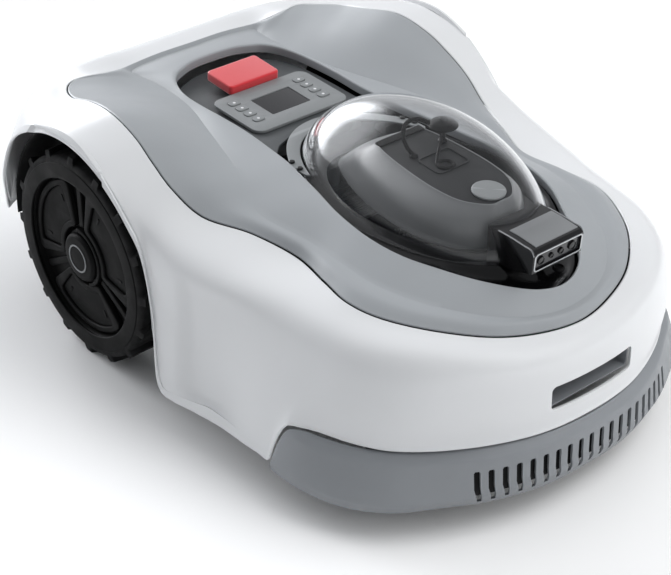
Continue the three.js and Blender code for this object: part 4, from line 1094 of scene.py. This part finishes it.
def soften_cad_edges():
    """Moulded edges on the CAD pieces that stay in view underneath."""
    for name in ("chassis_tub", "battery_cover", "cutter_carriage", "cutter_bridge", "left_drive_motor",
                 "right_drive_motor", "skid_plate", "blade_disc", "battery_pack", "main_board"):
        bevel = frame["nodes"][name].modifiers.new("soft_edge", "BEVEL")
        bevel.width = SOFT_EDGE[name in ("chassis_tub", "battery_cover")] * MM
        bevel.segments = 3
        bevel.limit_method = "ANGLE"
        bevel.angle_limit = math.radians(50)
        bevel.harden_normals = True


# ---------- stage ----------
VIEW = {"azimuth": -40.57, "elevation": 32.61, "lens": 92.41, "from": (-1.0487, -1.1959, 1.0800)}
# Each soft box: its place, target and size in metres, and its watts. None shows in glossy surfaces.
LIGHTS = {
    "key": ((1.1, -1.3, 2.5), (0, 0, 0.1), (2.0, 1.8), 46),
    "top": ((0.3, 0.4, 2.8), (0, 0, 0.1), (2.0, 2.0), 8),
    "fill": ((0.8, -2.6, 1.5), (0, 0, 0.15), (2.0, 1.2), 22),
}
# The bright window behind the machine: its direction, how far it spreads in degrees, how much brighter.
GLOW = {"toward": (-0.02, 0.94, 0.25), "outer": 33, "inner": 12, "gain": 11}
FLOOR_REACH = 30


def aim(thing, location, direction):
    thing.location = location
    thing.rotation_mode = "QUATERNION"
    thing.rotation_quaternion = direction.to_track_quat("-Z", "Y")


def make_camera():
    azimuth = math.radians(VIEW["azimuth"])
    elevation = math.radians(VIEW["elevation"])
    level = math.cos(elevation)
    back = Vector((math.sin(azimuth) * level, -math.cos(azimuth) * level, math.sin(elevation)))
    data = bpy.data.cameras.new("camera")
    data.lens = VIEW["lens"]
    data.sensor_width = 36
    data.clip_start = 0.05
    data.clip_end = 100
    camera = new_object("camera", data)
    aim(camera, VIEW["from"], -back)
    bpy.context.scene.camera = camera


def make_lights():
    for name, (location, target, size, power) in LIGHTS.items():
        data = bpy.data.lights.new(name, "AREA")
        data.shape = "RECTANGLE"
        data.size, data.size_y = size
        data.energy = power
        light = new_object(name, data)
        light.visible_glossy = False
        aim(light, location, Vector(target) - Vector(location))


def make_world():
    """A pale studio, brightest behind the machine's tail and dimmer towards its nose."""
    world = bpy.data.worlds.new("studio")
    world.use_nodes = True
    tree = world.node_tree
    direction = tree.nodes.new("ShaderNodeTexCoord")
    split = tree.nodes.new("ShaderNodeSeparateXYZ")
    blend = add_node(tree, "ShaderNodeMapRange", {"From Min": -0.5, "From Max": 0.95},
                     interpolation_type="SMOOTHSTEP")
    mix = add_node(tree, "ShaderNodeMix", {6: (0.28, 0.29, 0.30, 1), 7: (0.62, 0.63, 0.65, 1)},
                   data_type="RGBA")
    toward = add_node(tree, "ShaderNodeVectorMath", {1: Vector(GLOW["toward"]).normalized()},
                      operation="DOT_PRODUCT")
    glow = add_node(tree, "ShaderNodeMapRange", {
        "From Min": math.cos(math.radians(GLOW["outer"])),
        "From Max": math.cos(math.radians(GLOW["inner"])), "To Min": 1.0, "To Max": GLOW["gain"],
    }, interpolation_type="SMOOTHSTEP")
    background = tree.nodes["Background"]
    for source, node, socket in (
        (direction.outputs["Generated"], split, "Vector"), (split.outputs["Y"], blend, "Value"),
        (blend.outputs["Result"], mix, 0), (direction.outputs["Generated"], toward, 0),
        (toward.outputs["Value"], glow, "Value"), (glow.outputs["Result"], background, "Strength"),
        (mix.outputs[2], background, "Color"),
    ):
        tree.links.new(source, node.inputs[socket])
    bpy.context.scene.world = world


def make_stage():
    mesh = bpy.data.meshes.new("floor")
    corners = [(x * FLOOR_REACH, y * FLOOR_REACH, 0) for x, y in ((-1, -1), (1, -1), (1, 1), (-1, 1))]
    mesh.from_pydata(corners, [], [(0, 1, 2, 3)])
    nodes = Nodes("pale_floor", "floor")
    tone = nodes.mix(nodes.noise(3), (0.93, 0.93, 0.93), (0.95, 0.95, 0.95))
    nodes.link(tone, nodes.shader, "Base Color")
    mesh.materials.append(nodes.finish(Roughness=0.75))
    new_object("floor", mesh)
    make_world()
    make_lights()
    bpy.context.scene.view_settings.view_transform = "Standard"


make_camera()
make_stage()
dress_cad_nodes()
make_shell()
make_top_panel()
make_bumper()
make_tray()
make_controls()
make_stop_button()
make_dome()
make_bowl()
make_antennas(make_pod())
make_flange()
make_camera_pod()
make_slot_liner()
for side, name in SIDES:
    make_tyre(side, name)
    make_rim(side, name)
    make_arch_liner(side, name)
    make_caster(side, name)
soften_cad_edges()
